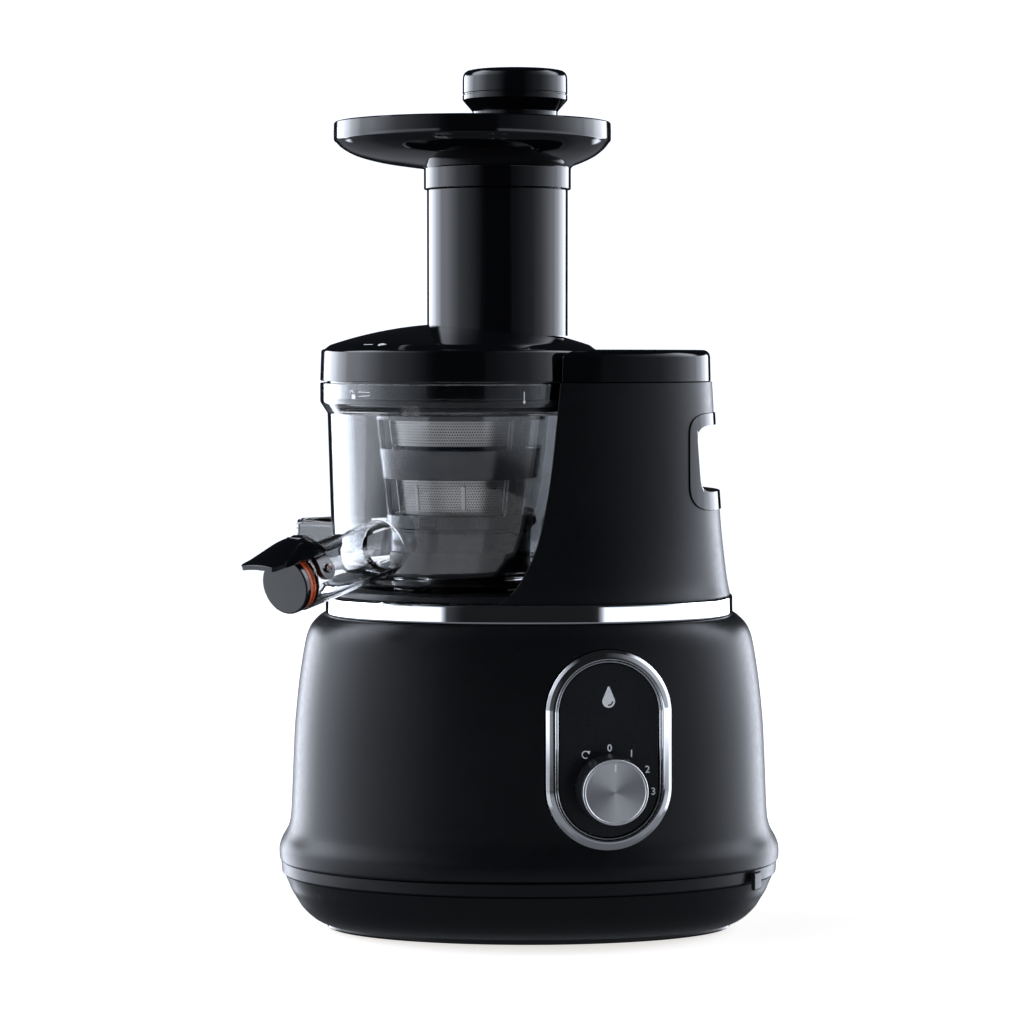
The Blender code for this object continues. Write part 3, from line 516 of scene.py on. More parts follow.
def board():
    made = new_material("board", (0.03, 0.16, 0.07), 0.4)
    vary_colour(made, (0.02, 0.12, 0.05), (0.04, 0.2, 0.09), 220)
    return vary_roughness(made, 0.3, 0.5, 150)


def print_white():
    """Screen-printed ink with a painted glow: a faint emission brightens the print though it is no lamp."""
    made = new_material("print_white", (0.85, 0.87, 0.9), 0.5)
    # painted glow: this emission makes the printed marks shine brighter than their lighting gives
    feed(surface(made), {"Emission Color": (0.9, 0.93, 0.97, 1.0), "Emission Strength": 0.14})
    vary_colour(made, (0.8, 0.82, 0.85), (0.9, 0.92, 0.95), 700)
    return vary_roughness(made, 0.42, 0.56, 500)


def floor_paint():
    made = new_material("floor_paint", (0.9, 0.9, 0.9), 0.7)
    feed(surface(made), {"Emission Color": (1.0, 0.97, 0.93, 1.0), "Emission Strength": 0.72})
    return vary_colour(made, (0.89, 0.89, 0.89), (0.91, 0.91, 0.91), 3)


# ---------------------------------------------------------------- base

PAN_ROWS = [(3.3, 104, 54.5), (5, 107.3, 58), (8, 111, 62.8), (12, 114.6, 67), (16, 117, 70.2),
            (20, 119.4, 72.6), (24, 121, 74.8), (27.8, 122.6, 76.8)]
PAN_LIP = [(28.1, 122.2, 76.4), (28.4, 122.4, 76.6), (28.8, 123.7, 77.8), (29.3, 124.0, 78.2),
           (34.6, 124.4, 78.6), (35.1, 124.1, 78.3), (35.2, 123.6, 77.8)]
BODY_ROWS = [(35.8, 124.2, 78.4), (36.4, 124.9, 79.0), (38.4, 125.1, 79.25), (41.5, 125.1, 79.25),
             (44, 124.5, 79.0), (46.4, 123.4, 78.4), (49.2, 121.8, 77.7), (53, 120.2, 77.1),
             (60, 119.1, 76.8), (84, 118, 76.3), (104, 117, 76), (124, 115, 75.6), (140, 112.6, 74.8),
             (148, 110.9, 74.1), (153, 108.6, 73.2), (156.4, 105.4, 72.0), (158.0, 103.3, 71.2),
             (158.6, 101.7, 70.5)]
TOWER_ROWS = [(DECK_Z, 99.9, 70.1), (169.0, 100.2, 70.4), (176, 98.8, 67.4), (188, 97.3, 64.2),
              (200, 96.0, 61.8), (215, 94.8, 59.7), (235, 93.4, 57.6), (255, 92.2, 56.0),
              (TOWER_SEAM - GAP, 91.1, 54.5)]


def vertical_holes(radius, low, high, spots):
    """One cutter made of separate upright pins."""
    return gather(*(cylinder("hole", radius, low, high, spot, SMALL) for spot in spots))


def vent_cutters():
    return gather(*(loft("vent", [[(x + u, v, z) for u, v in slot_outline(1.6, 16)] for z in (-1, 12)])
                    for x in VENT_XS))


def slot_outline(half_w, half_l, count=16):
    points = []
    for i in range(count):
        angle = 2 * math.pi * (i + 0.5) / count
        end = (half_l - half_w) * (1 if math.sin(angle) > 0 else -1)
        points.append((half_w * math.cos(angle), half_w * math.sin(angle) + end))
    return points


def foot_plate(paint):
    rows = [(0, 100.2, 49.7), (0.25, 100.9, 50.4), (0.8, 101.4, 50.9), (1.4, 101.5, 51.0), (3.0, 101.5, 51.0)]
    plate = loft("foot_plate_fine", [superellipse(*row, 2.0) for row in rows])
    cut(plate, vertical_holes(8 + GAP, -1, 2.3, FOOT_SPOTS), vertical_holes(3.7, -1, 2.0, SCREW_SPOTS),
        vertical_holes(2.1, -2, 12, SCREW_SPOTS), vent_cutters())
    dress(plate, paint, "base", ["foot_plate"])


def rubber_feet(paint):
    for i, (x, y) in enumerate(FOOT_SPOTS):
        profile = rounded([(0, 2.0), (8, 2.0, 0.2), (8, 0, 0.9), (6.2, 0, 0.2), (5.8, 0.35, 0.2), (0, 0.35)])
        dress(turned(f"rubber_foot_fine_{i + 1}", profile, (x, y), MEDIUM), paint, "base",
              [f"rubber_foot_{i + 1}"])


def base_screws(paint):
    for i, (x, y) in enumerate(SCREW_SPOTS):
        profile = rounded([(0, 11), (1.6, 11, 0.4), (1.6, 1.7), (3.2, 1.7, 0.2), (3.2, 0.3, 0.6), (0, 0.3)])
        screw = turned(f"base_screw_fine_{i + 1}", profile, (x, y), SMALL)
        for size in ((1.7, 0.35), (0.35, 1.7)):
            cut(screw, box("recess", (x - size[0], y - size[1], -0.2), (x + size[0], y + size[1], 1.2)))
        dress(screw, paint, "base", [f"base_screw_{i + 1}"])


def bottom_pan(paint):
    outer = [superellipse(*row, PAN_POWER) for row in smooth_rows(PAN_ROWS, 3) + PAN_LIP]
    inner = [superellipse(max(z, 6.0), a - PAN_WALL, b - PAN_WALL, PAN_POWER)
             for z, a, b in [PAN_LIP[-1]] + [PAN_ROWS[i] for i in (6, 4, 3, 2, 0)]]
    pan = loft("bottom_pan_fine", outer + inner)
    cut(pan, vertical_holes(2.1, -2, 12, SCREW_SPOTS), vent_cutters(),
        box("gland_hole", (-6.3, 58, 12.7), (6.3, 90, 23.3), 1.3))
    dress(pan, paint, "base", ["bottom_pan"])


def cord_gland(paint):
    """Empty grommet."""
    grommet = box("cord_gland_fine", (-6, 63.5, 13), (6, 76, 23), 1.6)
    cut(grommet, extruded("gland_bore", rectangle(3.4, 15.4, 20.6, 2.4), 55, 90))
    soften(grommet, 0.35, 2, 50)
    dress(grommet, paint, "base", ["cord_gland"])


def side_lug(paint):
    lug = box("side_lug_fine", (-4, -2.8, 25.5), (4, -0.7, 34.2), 1.0)
    dress(placed(lug, shift(109.6, -39.6, 0) @ turn(58)), paint, "base", ["side_lug"])


def base_housing(paint):
    outer = [superellipse(*row) for row in smooth_rows(BODY_ROWS, 3)]
    inner = [superellipse(z, a - BODY_WALL, b - BODY_WALL)
             for z, a, b in (BODY_ROWS[i] for i in (13, 9, 6, 2, 0))]
    lip = [superellipse(*row) for row in ((158.6, 92, 61), (155.6, 92, 61), (155.6, 102.4, 68.5))]
    housing = loft("base_housing_fine", outer + lip + inner, closed=True)
    opening = loft("panel_opening", [stadium(d, PANEL_HALF_W + GAP, PANEL_HALF_H + GAP) for d in (-30, 12)])
    cut(housing, placed(opening, panel_matrix()))
    dress(housing, paint, "base", ["base_housing"])


def chrome_band(paint):
    outer = rounded([(-3.2, 158.9), (-0.3, 158.9, 0.5), (0.0, 159.7, 0.8), (-0.1, 167.3, 0.9),
                     (-1.1, 168.1, 0.5), (-3.2, 168.1)])
    band = loft("chrome_band_fine", [superellipse(z, 101.6 + d, 71.4 + d) for d, z in outer], closed=True)
    dress(band, paint, "base", ["chrome_band"], 40)


# ---------------------------------------------------------------- tower

def bisect(test, low, high):
    """The value between low and high at which test turns from true to false."""
    for _ in range(40):
        middle = (low + high) / 2
        if test(middle):
            low = middle
        else:
            high = middle
    return low


def tower_ring(z, a, b, inset=0.0, corner=2.0):
    """The housing's outline less the bowl's round scoop, its two upright edges rounded."""
    scoop, axis = SCOOP_R + inset, Vector((BOWL_X, 0))

    def at(t):
        return Vector(outline_point(a - inset, b - inset, t))

    edge_t = bisect(lambda t: (at(t) - axis).length > scoop, 0.3, 2.6)
    edge = at(edge_t)
    near_t = bisect(lambda t: (at(t) - edge).length > corner, 0.3, edge_t)
    near_angle = math.atan2(edge.y, edge.x - BOWL_X) - corner / scoop
    outer = [at(near_t * (i / 48 - 1)) for i in range(97)]
    scooped = [axis + scoop * Vector((math.cos(t), math.sin(t)))
               for t in (near_angle * (1 - i / 32) for i in range(65))]
    side = bend(outer[-1], edge, scooped[0], 7)[1:-1]
    other = [Vector((p.x, -p.y)) for p in reversed(side)]
    return [(p.x, p.y, z) for p in outer + side + scooped + other]


def grip_outline(inset):
    """The C-shaped recess behind the handle, seen from the front."""
    return rounded([(77.9 + inset, 210.7 + inset, 13), (130, 210.7 + inset), (130, 258.7 - inset),
                    (77.9 + inset, 258.7 - inset, 10)], 10)


def upper_housing(paint):
    rings = [tower_ring(*row) for row in smooth_rows(TOWER_ROWS, 4)]
    rings.append(tower_ring(*TOWER_ROWS[-1], inset=0.4))
    tower = loft("upper_housing_fine", rings)
    deck = [(DECK_Z + 0.1, 99.6, 69.8), (DECK_Z + 0.5, 99.9, 70.1), (170.6, 99.7, 69.6),
            (DECK_TOP, 98.9, 68.8)]
    join(tower, loft("deck", [superellipse(*row) for row in deck]))
    cut(tower, extruded("grip", grip_outline(0), -80, 80), cylinder("deck_hole", 10.8, 160, 180, (BOWL_X, 0)))
    dress(tower, paint, "base", ["upper_housing"])


def tower_cap(paint):
    radius = 3.6
    rings = [tower_ring(TOWER_SEAM, 90.4, 53.9, 0.3), tower_ring(TOWER_SEAM + 0.3, 90.4, 53.9)]
    for angle in (math.pi / 2 * i / 8 for i in range(9)):
        z, inset = TOWER_TOP - radius + radius * math.sin(angle), radius * (1 - math.cos(angle))
        rings.append(tower_ring(z, 90.1, 53.6, inset))
    dress(loft("tower_cap_fine", rings), paint, "base", ["tower_cap"], 40)


def handle_insert(paint):
    """C-shaped liner of the grip, slightly proud of the tower."""
    rows = [(205, 96.3, 61.9), (215, 95.5, 60.4), (235, 94.1, 58.3), (255, 92.9, 56.7), (262, 92.5, 56.2)]
    liner = loft("handle_insert_fine", [superellipse(*row) for row in smooth_rows(rows, 4)])
    keep = extruded("keep", grip_outline(0.25), -95, 95)
    outside = cut(box("outside", (-150, -90, 190), (150, 90, 280)), keep)
    grip = rounded([(84.0, 220.0, 7), (130, 219.2), (130, 252.6), (81.6, 252.6, 7)], 8)
    cut(liner, outside, extruded("hollow", grip, -90, 90))
    soften(liner, 0.5, 2, 45)
    dress(liner, paint, "base", ["handle_insert"])


# ---------------------------------------------------------------- control panel

def panel_matrix():
    return shift(*PANEL_AT) @ Matrix.Rotation(PANEL_YAW, 4, "Z") @ Matrix.Rotation(-PANEL_LEAN, 4, "X")


def knob_matrix():
    """+Z out of the panel and +Y up, at the knob's axis."""
    return panel_matrix() @ shift(0, 0, -KNOB_DROP) @ turn(90, "X")


def stadium(offset, half_w, half_h):
    """An upright stadium in the panel's frame, at Y = -offset."""
    return [(u, -offset, v) for u, v in slot_outline(half_w, half_h, 96)]


def bezel_ring(paint):
    """A ring that slopes outward from its crest, with a thin lip along its inside."""
    root = (BEZEL_WIDTH, -7.0)
    crown = rounded([(0, 0.3), (0, 0.6, 0.5), (1.5, 1.55, 1.0), (3.4, 2.3, 1.5), (4.7, 2.4, 0.6), (5.0, 0.5)])
    lip = rounded([(5.1, 0.4), (5.2, 1.25, 0.3), (BEZEL_WIDTH, 1.25, 0.4), root], 3)[1:-1]
    rings = [stadium(d, PANEL_HALF_W - inset, PANEL_HALF_H - inset)
             for inset, d in [(0, -7.0)] + crown + lip + [root]]
    bezel = placed(loft("bezel_ring_fine", rings, closed=True), panel_matrix())
    dress(bezel, paint, "base", ["bezel_ring"], 40)


def control_panel(paint):
    half_w, half_h = PANEL_HALF_W - BEZEL_WIDTH - GAP, PANEL_HALF_H - BEZEL_WIDTH - GAP
    rows = [(-3.2, 0), (-0.2, 0), (0.1, 0.15), (0.2, 0.5)]
    plate = loft("control_panel_fine", [stadium(d, half_w - i, half_h - i) for d, i in rows])
    placed(plate, panel_matrix())
    cut(plate, placed(cylinder("knob_hole", 4.4, -10, 10), knob_matrix()))
    dress(plate, paint, "base", ["control_panel"], 20)


def knob(skirt_paint, face_paint, ink_with_painted_glow):
    top, place = KNOB_TOP, knob_matrix()
    skirt = rounded([(0, top - 2.3), (14.6, top - 2.3), (14.6, top - 1.9), (15.8, top - 1.9, 0.2),
                     (16.0, top - 2.4), (16.6, 1.7, 0.5), (16.4, 0.9, 0.4), (3.6, 0.9), (3.6, -13, 0.4),
                     (0, -13)])
    dress(placed(turned("speed_knob_fine", skirt, steps=96), place), skirt_paint, "knob", ["speed_knob"])
    face = rounded([(0, top - 0.35), (14.3, top - 0.35, 0.3), (14.6, top, 0.25), (15.7, top, 0.6),
                    (15.7, top - 1.7, 0.2), (0, top - 1.7)], 5)
    dress(placed(turned("knob_face_fine", face, steps=96), place), face_paint, "knob", ["knob_face"],
          50)
    pointer = box("knob_pointer", (-0.35, 9.6, top - 0.45), (0.35, 13.2, top - 0.2), 0.1)
    dress(placed(pointer, place), ink_with_painted_glow, "knob")


def flat_shape(name, outline, low, high):
    """An outline in X and Y between two heights."""
    return loft(name, [[(x, y, z) for x, y in outline] for z in (low, high)])


def stroke(points, width):
    """The outline of a line of even width through points."""
    left, right = [], []
    for i, point in enumerate(points):
        before, after = points[max(i - 1, 0)], points[min(i + 1, len(points) - 1)]
        along = (Vector(after) - Vector(before)).normalized() * width / 2
        left.append((point[0] - along.y, point[1] + along.x))
        right.append((point[0] + along.y, point[1] - along.x))
    return left + right[::-1]


def arc(centre, radius, start, end, count=12):
    """Points on a circle from one angle in degrees to another."""
    angles = [math.radians(start + (end - start) * i / count) for i in range(count + 1)]
    return [(centre[0] + radius * math.cos(t), centre[1] + radius * math.sin(t)) for t in angles]


def numeral(text, x, y):
    """A raised figure on the control panel."""
    curve = bpy.data.curves.new("numeral", "FONT")
    curve.body = text
    curve.size = NUMERAL_SIZE * MM
    curve.align_x = curve.align_y = "CENTER"
    curve.extrude = (PRINT_Z[1] - PRINT_Z[0]) / 2 * MM
    curve.offset = 0.05 * MM
    holder = link("numeral_curve", curve)
    graph = bpy.context.evaluated_depsgraph_get()
    graph.update()
    mesh = bpy.data.meshes.new_from_object(holder.evaluated_get(graph))
    bpy.data.objects.remove(holder)
    bm = bmesh.new()
    bm.from_mesh(mesh)
    bmesh.ops.remove_doubles(bm, verts=bm.verts, dist=0.0000005)
    bm.to_mesh(mesh)
    bm.free()
    return placed(link("numeral_" + text, mesh), shift(x, y, sum(PRINT_Z) / 2))


def dial_marks(ink_with_painted_glow):
    """Numbers at the knob's stops, a turning arrow for reverse and a plain drop above."""
    low, high = PRINT_Z
    marks = [numeral(str(i), x, y) for i, (x, y) in enumerate(arc(DIAL_SHIFT, DIAL_R, 90, 0, 3))]
    stop_x, stop_y = arc(DIAL_SHIFT, DIAL_R, 120, 90, 1)[0]
    around = arc((stop_x - 1.0, stop_y), 1.7, 40, 300)
    tip_x, tip_y = around[0]
    head = [(tip_x - 1.0, tip_y + 0.5), (tip_x + 0.9, tip_y + 0.7), (tip_x + 0.4, tip_y - 1.0)]
    marks.append(flat_shape("arrow_arc", stroke(around, 0.45), low, high))
    marks.append(flat_shape("arrow_head", head, low, high))
    centre = (0, 41.5)
    drop = flat_shape("drop", arc(centre, 3.1, -215, 35, 24) + [(0.35, 48.6), (-0.35, 48.6)], low, high)
    glint = flat_shape("drop_glint", stroke(arc(centre, 1.9, -100, 0, 10), 0.7), low - 1, high + 1)
    marks.append(cut(drop, glint))
    dress(placed(gathered("dial_marks", marks), knob_matrix()), ink_with_painted_glow, "base")


# ---------------------------------------------------------------- juicing bowl

def bowl_point(radius, angle, z):
    """A point about the bowl's axis."""
    return BOWL_X + radius * math.cos(angle), radius * math.sin(angle), z


def spout_matrix():
    """+Z along the spout away from the bowl, +Y up across it."""
    level, drop = math.cos(SPOUT_SLOPE), math.sin(SPOUT_SLOPE)
    along = Vector((math.cos(SPOUT_AZIMUTH) * level, math.sin(SPOUT_AZIMUTH) * level, -drop))
    side = Vector((0, 0, 1)).cross(along).normalized()
    rotation = Matrix((side, along.cross(side), along)).transposed().to_4x4()
    root = bowl_point(SPOUT_ROOT, SPOUT_AZIMUTH, SPOUT_ROOT_Z)
    return shift(*root) @ rotation @ shift(0, 0, -SPOUT_ROOT)


def bowl_matrix(azimuth):
    return shift(BOWL_X, 0, 0) @ Matrix.Rotation(azimuth, 4, "Z")


def channel(name, ends):
    """A straight bar between two rounded rectangles (x, half width, low, high, corner)."""
    return loft(name, [[(x, y, z) for y, z in rectangle(*size)] for x, *size in ends])


def cross_bar(name, radius, half, at):
    """A round bar across the spout."""
    profile = rounded([(0, half), (radius, half, 0.3), (radius, -half, 0.3), (0, -half)])
    return placed(turned(name, profile, steps=SMALL), shift(*at) @ turn(90, "Y"))


def juice_bowl(paint):
    """Cup with the spout, the spout's studs, the pulp chute and the brush idler's pin."""
    spout, pulp = spout_matrix(), bowl_matrix(PULP_AZIMUTH)
    outside = [(RIM_R, RIM_TOP, 0.6), (RIM_R, 263.8, 3.0), (65.9, 258.2, 1.2), (64.3, 204), (63.4, 190, 8),
               (60.2, 179, 7), (52.5, 171.9, 3), (16, 171.9, 0.5), (16, 178, 0.5), (9.3, 178, 0.3)]
    inside = [(9.3, 180.6, 0.5), (18.5, 180.6, 0.5), (18.5, 177, 0.5), (30, 177, 0.5), (30, 181, 0.5),
              (33, 181, 0.5), (33, 176, 0.8), (51, 176, 5), (58, 181.5, 6), (60.8, 192, 8), (61.6, 204),
              (63.2, LEDGE_Z, 0.6), (66.5, LEDGE_Z, 0.5), (66.5, RIM_TOP, 0.6)]
    bowl = turned("juice_bowl_fine", rounded(outside + inside), (BOWL_X, 0))
    tube = rounded([(0, 62), (SPOUT_R, 62), (SPOUT_R, SPOUT_END, 0.6), (0, SPOUT_END)])
    studs = cross_bar("studs", 2.0, 17.4, (0, STUD_Y, STUD_Z))
    chute = channel("chute", [(60.5, 17, 172.6, 203, 4), (PULP_END, 16, 172.6, 201, 4)])
    pin_at = bowl_point(GEAR_MODULE * AUGER_TEETH, math.pi / 3, 0)[:2]
    join(bowl, placed(turned("tube", tube, steps=72), spout), placed(studs, spout), placed(chute, pulp),
         cylinder("pin", 2.6, 178.5, 188, pin_at, SMALL))
    bore = cylinder("bore", SPOUT_BORE_R, 52, 140, steps=72)
    chute_bore = channel("chute_bore", [(50, 14.4, 178.2, 200.4, 2.5), (130, 13.4, 175.2, 198.4, 2.5)])
    cut(bowl, placed(bore, spout), placed(chute_bore, pulp))
    dress(bowl, paint, "bowl", ["juice_bowl"], 35)


def bowl_packing(paint):
    profile = rounded([(15.7, 177.7, 0.4), (15.7, 172.2, 0.4), (12, 172.2, 0.4), (12, 176.8, 0.3),
                       (8.6, 176.8, 0.3), (8.6, 177.7, 0.3)])
    plug = turned("bowl_packing_fine", profile, (BOWL_X, 0), MEDIUM)
    dress(plug, paint, "bowl", ["bowl_packing"])


def strainer_radius(z):
    return STRAINER_R + STRAINER_TAPER * (z - STRAINER_R_Z)


def strainer_frame(paint):
    r, skin, wall = strainer_radius, 0.9, 1.6
    profile = rounded([(66.2, 262, 0.4), (66.2, 260, 0.4), (r(260) - skin, 260, 0.6),
                       (r(189.4) - skin, 189.4, 1.2), (13, 189.4, 0.4), (13, 191.4, 0.4),
                       (r(191.4) - skin - wall, 191.4, 0.8), (r(262) - skin - wall, 262, 0.6)])
    cage = turned("strainer_frame_fine", profile, (BOWL_X, 0))
    for low, high in ((210.5, 224), (244.5, 256)):
        for i in range(3):
            window = box("window", (-45, -11, low), (45, 11, high), 1.2)
            cut(cage, placed(window, bowl_matrix(math.pi * i / 3)))
    dress(cage, paint, "bowl", ["strainer_frame"])


def perforated_sleeve(name, low, high, columns, paint, node):
    """A thin tapered sleeve with staggered rows of real round holes between two plain edges."""
    edge, pitch, sides, thick = 0.9, 1.25, 8, 0.35
    rows = int((high - low - 2 * edge) / pitch)
    levels = [low] + [low + edge + (high - low - 2 * edge) * i / rows for i in range(rows + 1)] + [high]
    turns = [math.pi / 4 * (k - 3) for k in range(sides)]
    hole = [(0.3 * math.cos(t), 0.3 * pitch * math.sin(t)) for t in turns]
    points, faces = [], []

    def place(u, z, depth):
        points.append(bowl_point(strainer_radius(z) - depth, 2 * math.pi * u / columns, z))
        return len(points) - 1

    grid = [[[place(i + 0.5 * (row % 2), z, depth) for i in range(columns)] for depth in (0, thick)]
            for row, z in enumerate(levels)]
    for row, i in ((row, i) for row in range(len(levels) - 1) for i in range(columns)):
        lean = row % 2
        corners = [(row, i), (row, i + 1), (row + 1, i + 1 + lean), (row + 1, i + lean)]
        outer, inner = [[grid[r][side][c % columns] for r, c in corners] for side in (0, 1)]
        if row in (0, len(levels) - 2):
            faces += [tuple(outer), tuple(reversed(inner))]
            continue
        middle_u, middle_z = i + 0.5 + 0.5 * lean, (levels[row] + levels[row + 1]) / 2
        front, back = [[place(middle_u + du, middle_z + dz, depth) for du, dz in hole]
                       for depth in (0, thick)]
        for k in range(sides):
            n, c = (k + 1) % sides, k // 2
            faces.append((front[k], front[n], back[n], back[k]))
            for ring, skin in ((front, outer), (back, inner)):
                face = (ring[k], ring[n], skin[(c + 1) % 4])
                faces.append(face if k % 2 else face + (skin[c],))
    for front, back in (grid[0], grid[-1]):
        faces += [(front[i], front[i - 1], back[i - 1], back[i]) for i in range(columns)]
    dress(solid(name, points, faces), paint, "bowl", [node], 60)


def mesh_sleeves(paint):
    for level, height, columns in (("upper", UPPER_MESH_Z, 168), ("lower", LOWER_MESH_Z, 150)):
        node = "strainer_mesh_" + level
        perforated_sleeve(node + "_fine", *height, columns, paint, node)


def sleeve_ribs(paint):
    """Eight thin upright ribs that hold the lower sleeve."""
    z = sum(LOWER_MESH_Z) / 2
    seat = shift(strainer_radius(z), 0, z) @ Matrix.Rotation(math.atan(STRAINER_TAPER), 4, "Y")
    ribs = []
    for i in range(8):
        rib = loft(f"rib_{i}", [[(d, u, v) for u, v in slot_outline(1.1 - inset, 6.4 - inset, 20)]
                                for d, inset in ((-0.6, 0.0), (0.25, 0.0), (0.55, 0.35))])
        ribs.append(placed(rib, bowl_matrix(math.radians(-86 + 45 * i)) @ seat))
    dress(gathered("sleeve_ribs", ribs), paint, "bowl", ())


def gear_ring(z, teeth, module, phase=0.0, internal=False):
    pitch_r, sign = teeth * module / 2, -1 if internal else 1
    tip, root = pitch_r + sign * 0.8 * module, pitch_r - sign * 1.05 * module
    points = []
    for i in range(teeth):
        for share, radius in ((-0.27, root), (-0.1, tip), (0.1, tip), (0.27, root)):
            angle = phase + (i + share) * 2 * math.pi / teeth
            points.append(bowl_point(radius, angle, z))
    return points


def brush_holder(paint, skirt_paint):
    """Cage that turns round the strainer: collar, two hoops, three struts, ring gear, foot and skirt."""
    r, (low, high) = strainer_radius, GEAR_Z
    collar = rounded([(37, 208.3, 0.5), (37, 202, 0.4), (35.9, 201.4, 0.3), (35.9, 200.2), (33.4, 200.2),
                      (33.6, 208.3, 0.4)])
    cage = turned("brush_holder_fine", collar, (BOWL_X, 0))
    for bottom, top in ((226, 241), (255, 258.5)):
        hoop = rounded([(r(top) + BAND_FAR, top, 0.8), (r(bottom) + BAND_FAR, bottom, 0.8),
                        (r(bottom) + BAND_NEAR, bottom, 0.4), (r(top) + BAND_NEAR, top, 0.4)])
        join(cage, turned("hoop", hoop, (BOWL_X, 0)))
    strut = rounded([(0.4, -3, 0.3), (2.8, -3, 0.8), (2.8, 3, 0.8), (0.4, 3, 0.3)])
    for azimuth in STRUT_AZIMUTHS:
        sections = [[(r(z) + BAND_NEAR + dx, dy, z) for dx, dy in strut] for z in (203.5, 257)]
        join(cage, placed(loft("strut", sections), bowl_matrix(azimuth)))
        tab = box("tab", (35.6, -4.6, 202.6), (37.9, 4.6, 207), 1.1)
        join(cage, placed(tab, bowl_matrix(azimuth + math.radians(52))))
    rings = [gear_ring(z, BRUSH_TEETH, GEAR_MODULE, 0, True) for z in (high, low)]
    rings += [circle(z, BOWL_X, radius, 4 * BRUSH_TEETH)
              for radius, z in ((34.6, low), (35.0, low + 0.4), (35.0, high - 0.4), (34.6, high))]
    foot = rounded([(35.5, 188.6), (35.2, 177.3, 0.4), (33.6, 177.3, 0.4), (33.4, 188.6)])
    gather(cage, loft("ring_gear", rings, closed=True), turned("foot", foot, (BOWL_X, 0)))
    dress(cage, paint, "brush", ["brush_holder"])
    skirt = rounded([(35.6, 200.0, 0.3), (35.3, 188.9, 0.3), (33.3, 188.9, 0.3), (33.5, 200.0, 0.3)])
    dress(turned("brush_skirt_fine", skirt, (BOWL_X, 0)), skirt_paint, "brush")


def wiper_blades(paint):
    section = rounded([(0.3, -0.5, 0.3), (3.1, -1.6, 0.4), (3.1, 1.6, 0.4), (0.3, 0.5, 0.3)])
    rings = [[(strainer_radius(z) + dx, dy, z) for dx, dy in section] for z in (209.5, 254.5)]
    for i, azimuth in enumerate(STRUT_AZIMUTHS):
        blade = placed(loft(f"wiper_blade_fine_{i + 1}", rings), bowl_matrix(azimuth))
        dress(blade, paint, "brush", [f"wiper_blade_{i + 1}"])


def auger(paint):
    """Squeezing screw with two flights that follow the strainer's taper."""
    core = rounded([(0, 288), (3.4, 288, 0.3), (3.9, 287, 0.5), (3.9, 268, 2.0), (8, 266, 2), (13, 258, 10),
                    (17, 240, 20), (20.5, 215, 20), (21.5, 196, 10), (21.5, 192.2, 0.5), (11.5, 192.2, 0.3),
                    (11.5, 188.6, 0.3), (0, 188.6)])
    screw = turned("auger_fine", core, (BOWL_X, 0), 96)
    for flight in range(2):
        sections, count = [], 72
        for i in range(count + 1):
            share = i / count
            z, angle = 196 + 60 * share, math.pi * flight + 2.5 * math.pi * share
            edge = strainer_radius(z) - SCREW_CLEAR
            section = rounded([(12, -2.6), (edge, -1.2, 0.7), (edge, 1.2, 0.7), (12, 2.6)], 3)
            sections.append([bowl_point(q, angle, z + dz) for q, dz in section])
        join(screw, loft("flight", sections))
    pinion = [gear_ring(z, AUGER_TEETH, GEAR_MODULE, math.pi / 3) for z in (GEAR_Z[0], 189.5)]
    join(screw, loft("pinion", pinion))
    cut(screw, cylinder("socket", 6.8, 175, 191, (BOWL_X, 0), 6))
    dress(screw, paint, "screw", ["auger"], 35)


def spout_cap(disc_paint, seal_paint):
    face, end = CAP_FACE, SPOUT_END
    disc = rounded([(0, face), (13.6, face, 0.8), (13.6, face - 3.2, 0.6), (0, face - 3.2)])
    dress(placed(turned("spout_cap_fine", disc, steps=96), spout_matrix()), disc_paint, "juice_cap",
          ["spout_cap"], 40)
    seal = rounded([(0, face - 3.5), (13.0, face - 3.5, 0.5), (13.1, 129.6, 0.3), (12.5, 129.4, 0.2),
                    (12.5, 129.0, 0.2), (13.1, 128.8, 0.3), (13.0, end + 0.3, 0.5), (9.9, end + 0.3, 0.3),
                    (9.0, end - 5.5, 0.8), (0, end - 5.5)])
    dress(placed(turned("cap_seal_fine", seal, steps=96), spout_matrix()), seal_paint, "juice_cap",
          ["cap_seal"], 40)


def strap_half_width(degrees):
    """Half the strap's width along its arc: a round ear at each stud, narrowing to a band on top."""
    ear, band = 5.2, 4.2
    stud_angle = math.degrees(math.atan2(STUD_Y, EAR_REACH))
    past = math.radians(min(degrees, 180 - degrees) - stud_angle) * EAR_REACH
    if past < 0:
        return math.sqrt(max(ear ** 2 - past ** 2, 0.04))
    return band + (ear - band) * max(0.0, 1 - past / 7) ** 2


def cap_bracket(paint):
    """A strap over the spout with a round ear on each stud and a knuckle for the lever's pin."""
    inner, outer, rings = 14.35, 17.0, []
    for degrees in (2.5 + 175 * i / 60 for i in range(61)):
        half, angle = strap_half_width(degrees), math.radians(degrees)
        section = rounded([(inner, -half), (outer, -half, 0.4), (outer, half, 0.4), (inner, half)], 3)
        rings.append([(q * math.cos(angle), q * math.sin(angle), STUD_Z + s) for q, s in section])
    strap = loft("cap_bracket_fine", rings)
    side = rounded([(14.8, 117.5), (20.6, 117.5, 2.5), (20.6, 123.5, 2.5), (14.8, 123.5)], 5)
    join(strap, loft("knuckle", [[(x, y, z) for y, z in side] for x in (-3.5, 3.5)]))
    cut(strap, cross_bar("stud_holes", 2.3, 30, (0, STUD_Y, STUD_Z)),
        cross_bar("pin_hole", CAP_PIN_R + GAP, 30, CAP_HINGE))
    dress(placed(strap, spout_matrix()), paint, "bowl", ["cap_bracket"], 40)


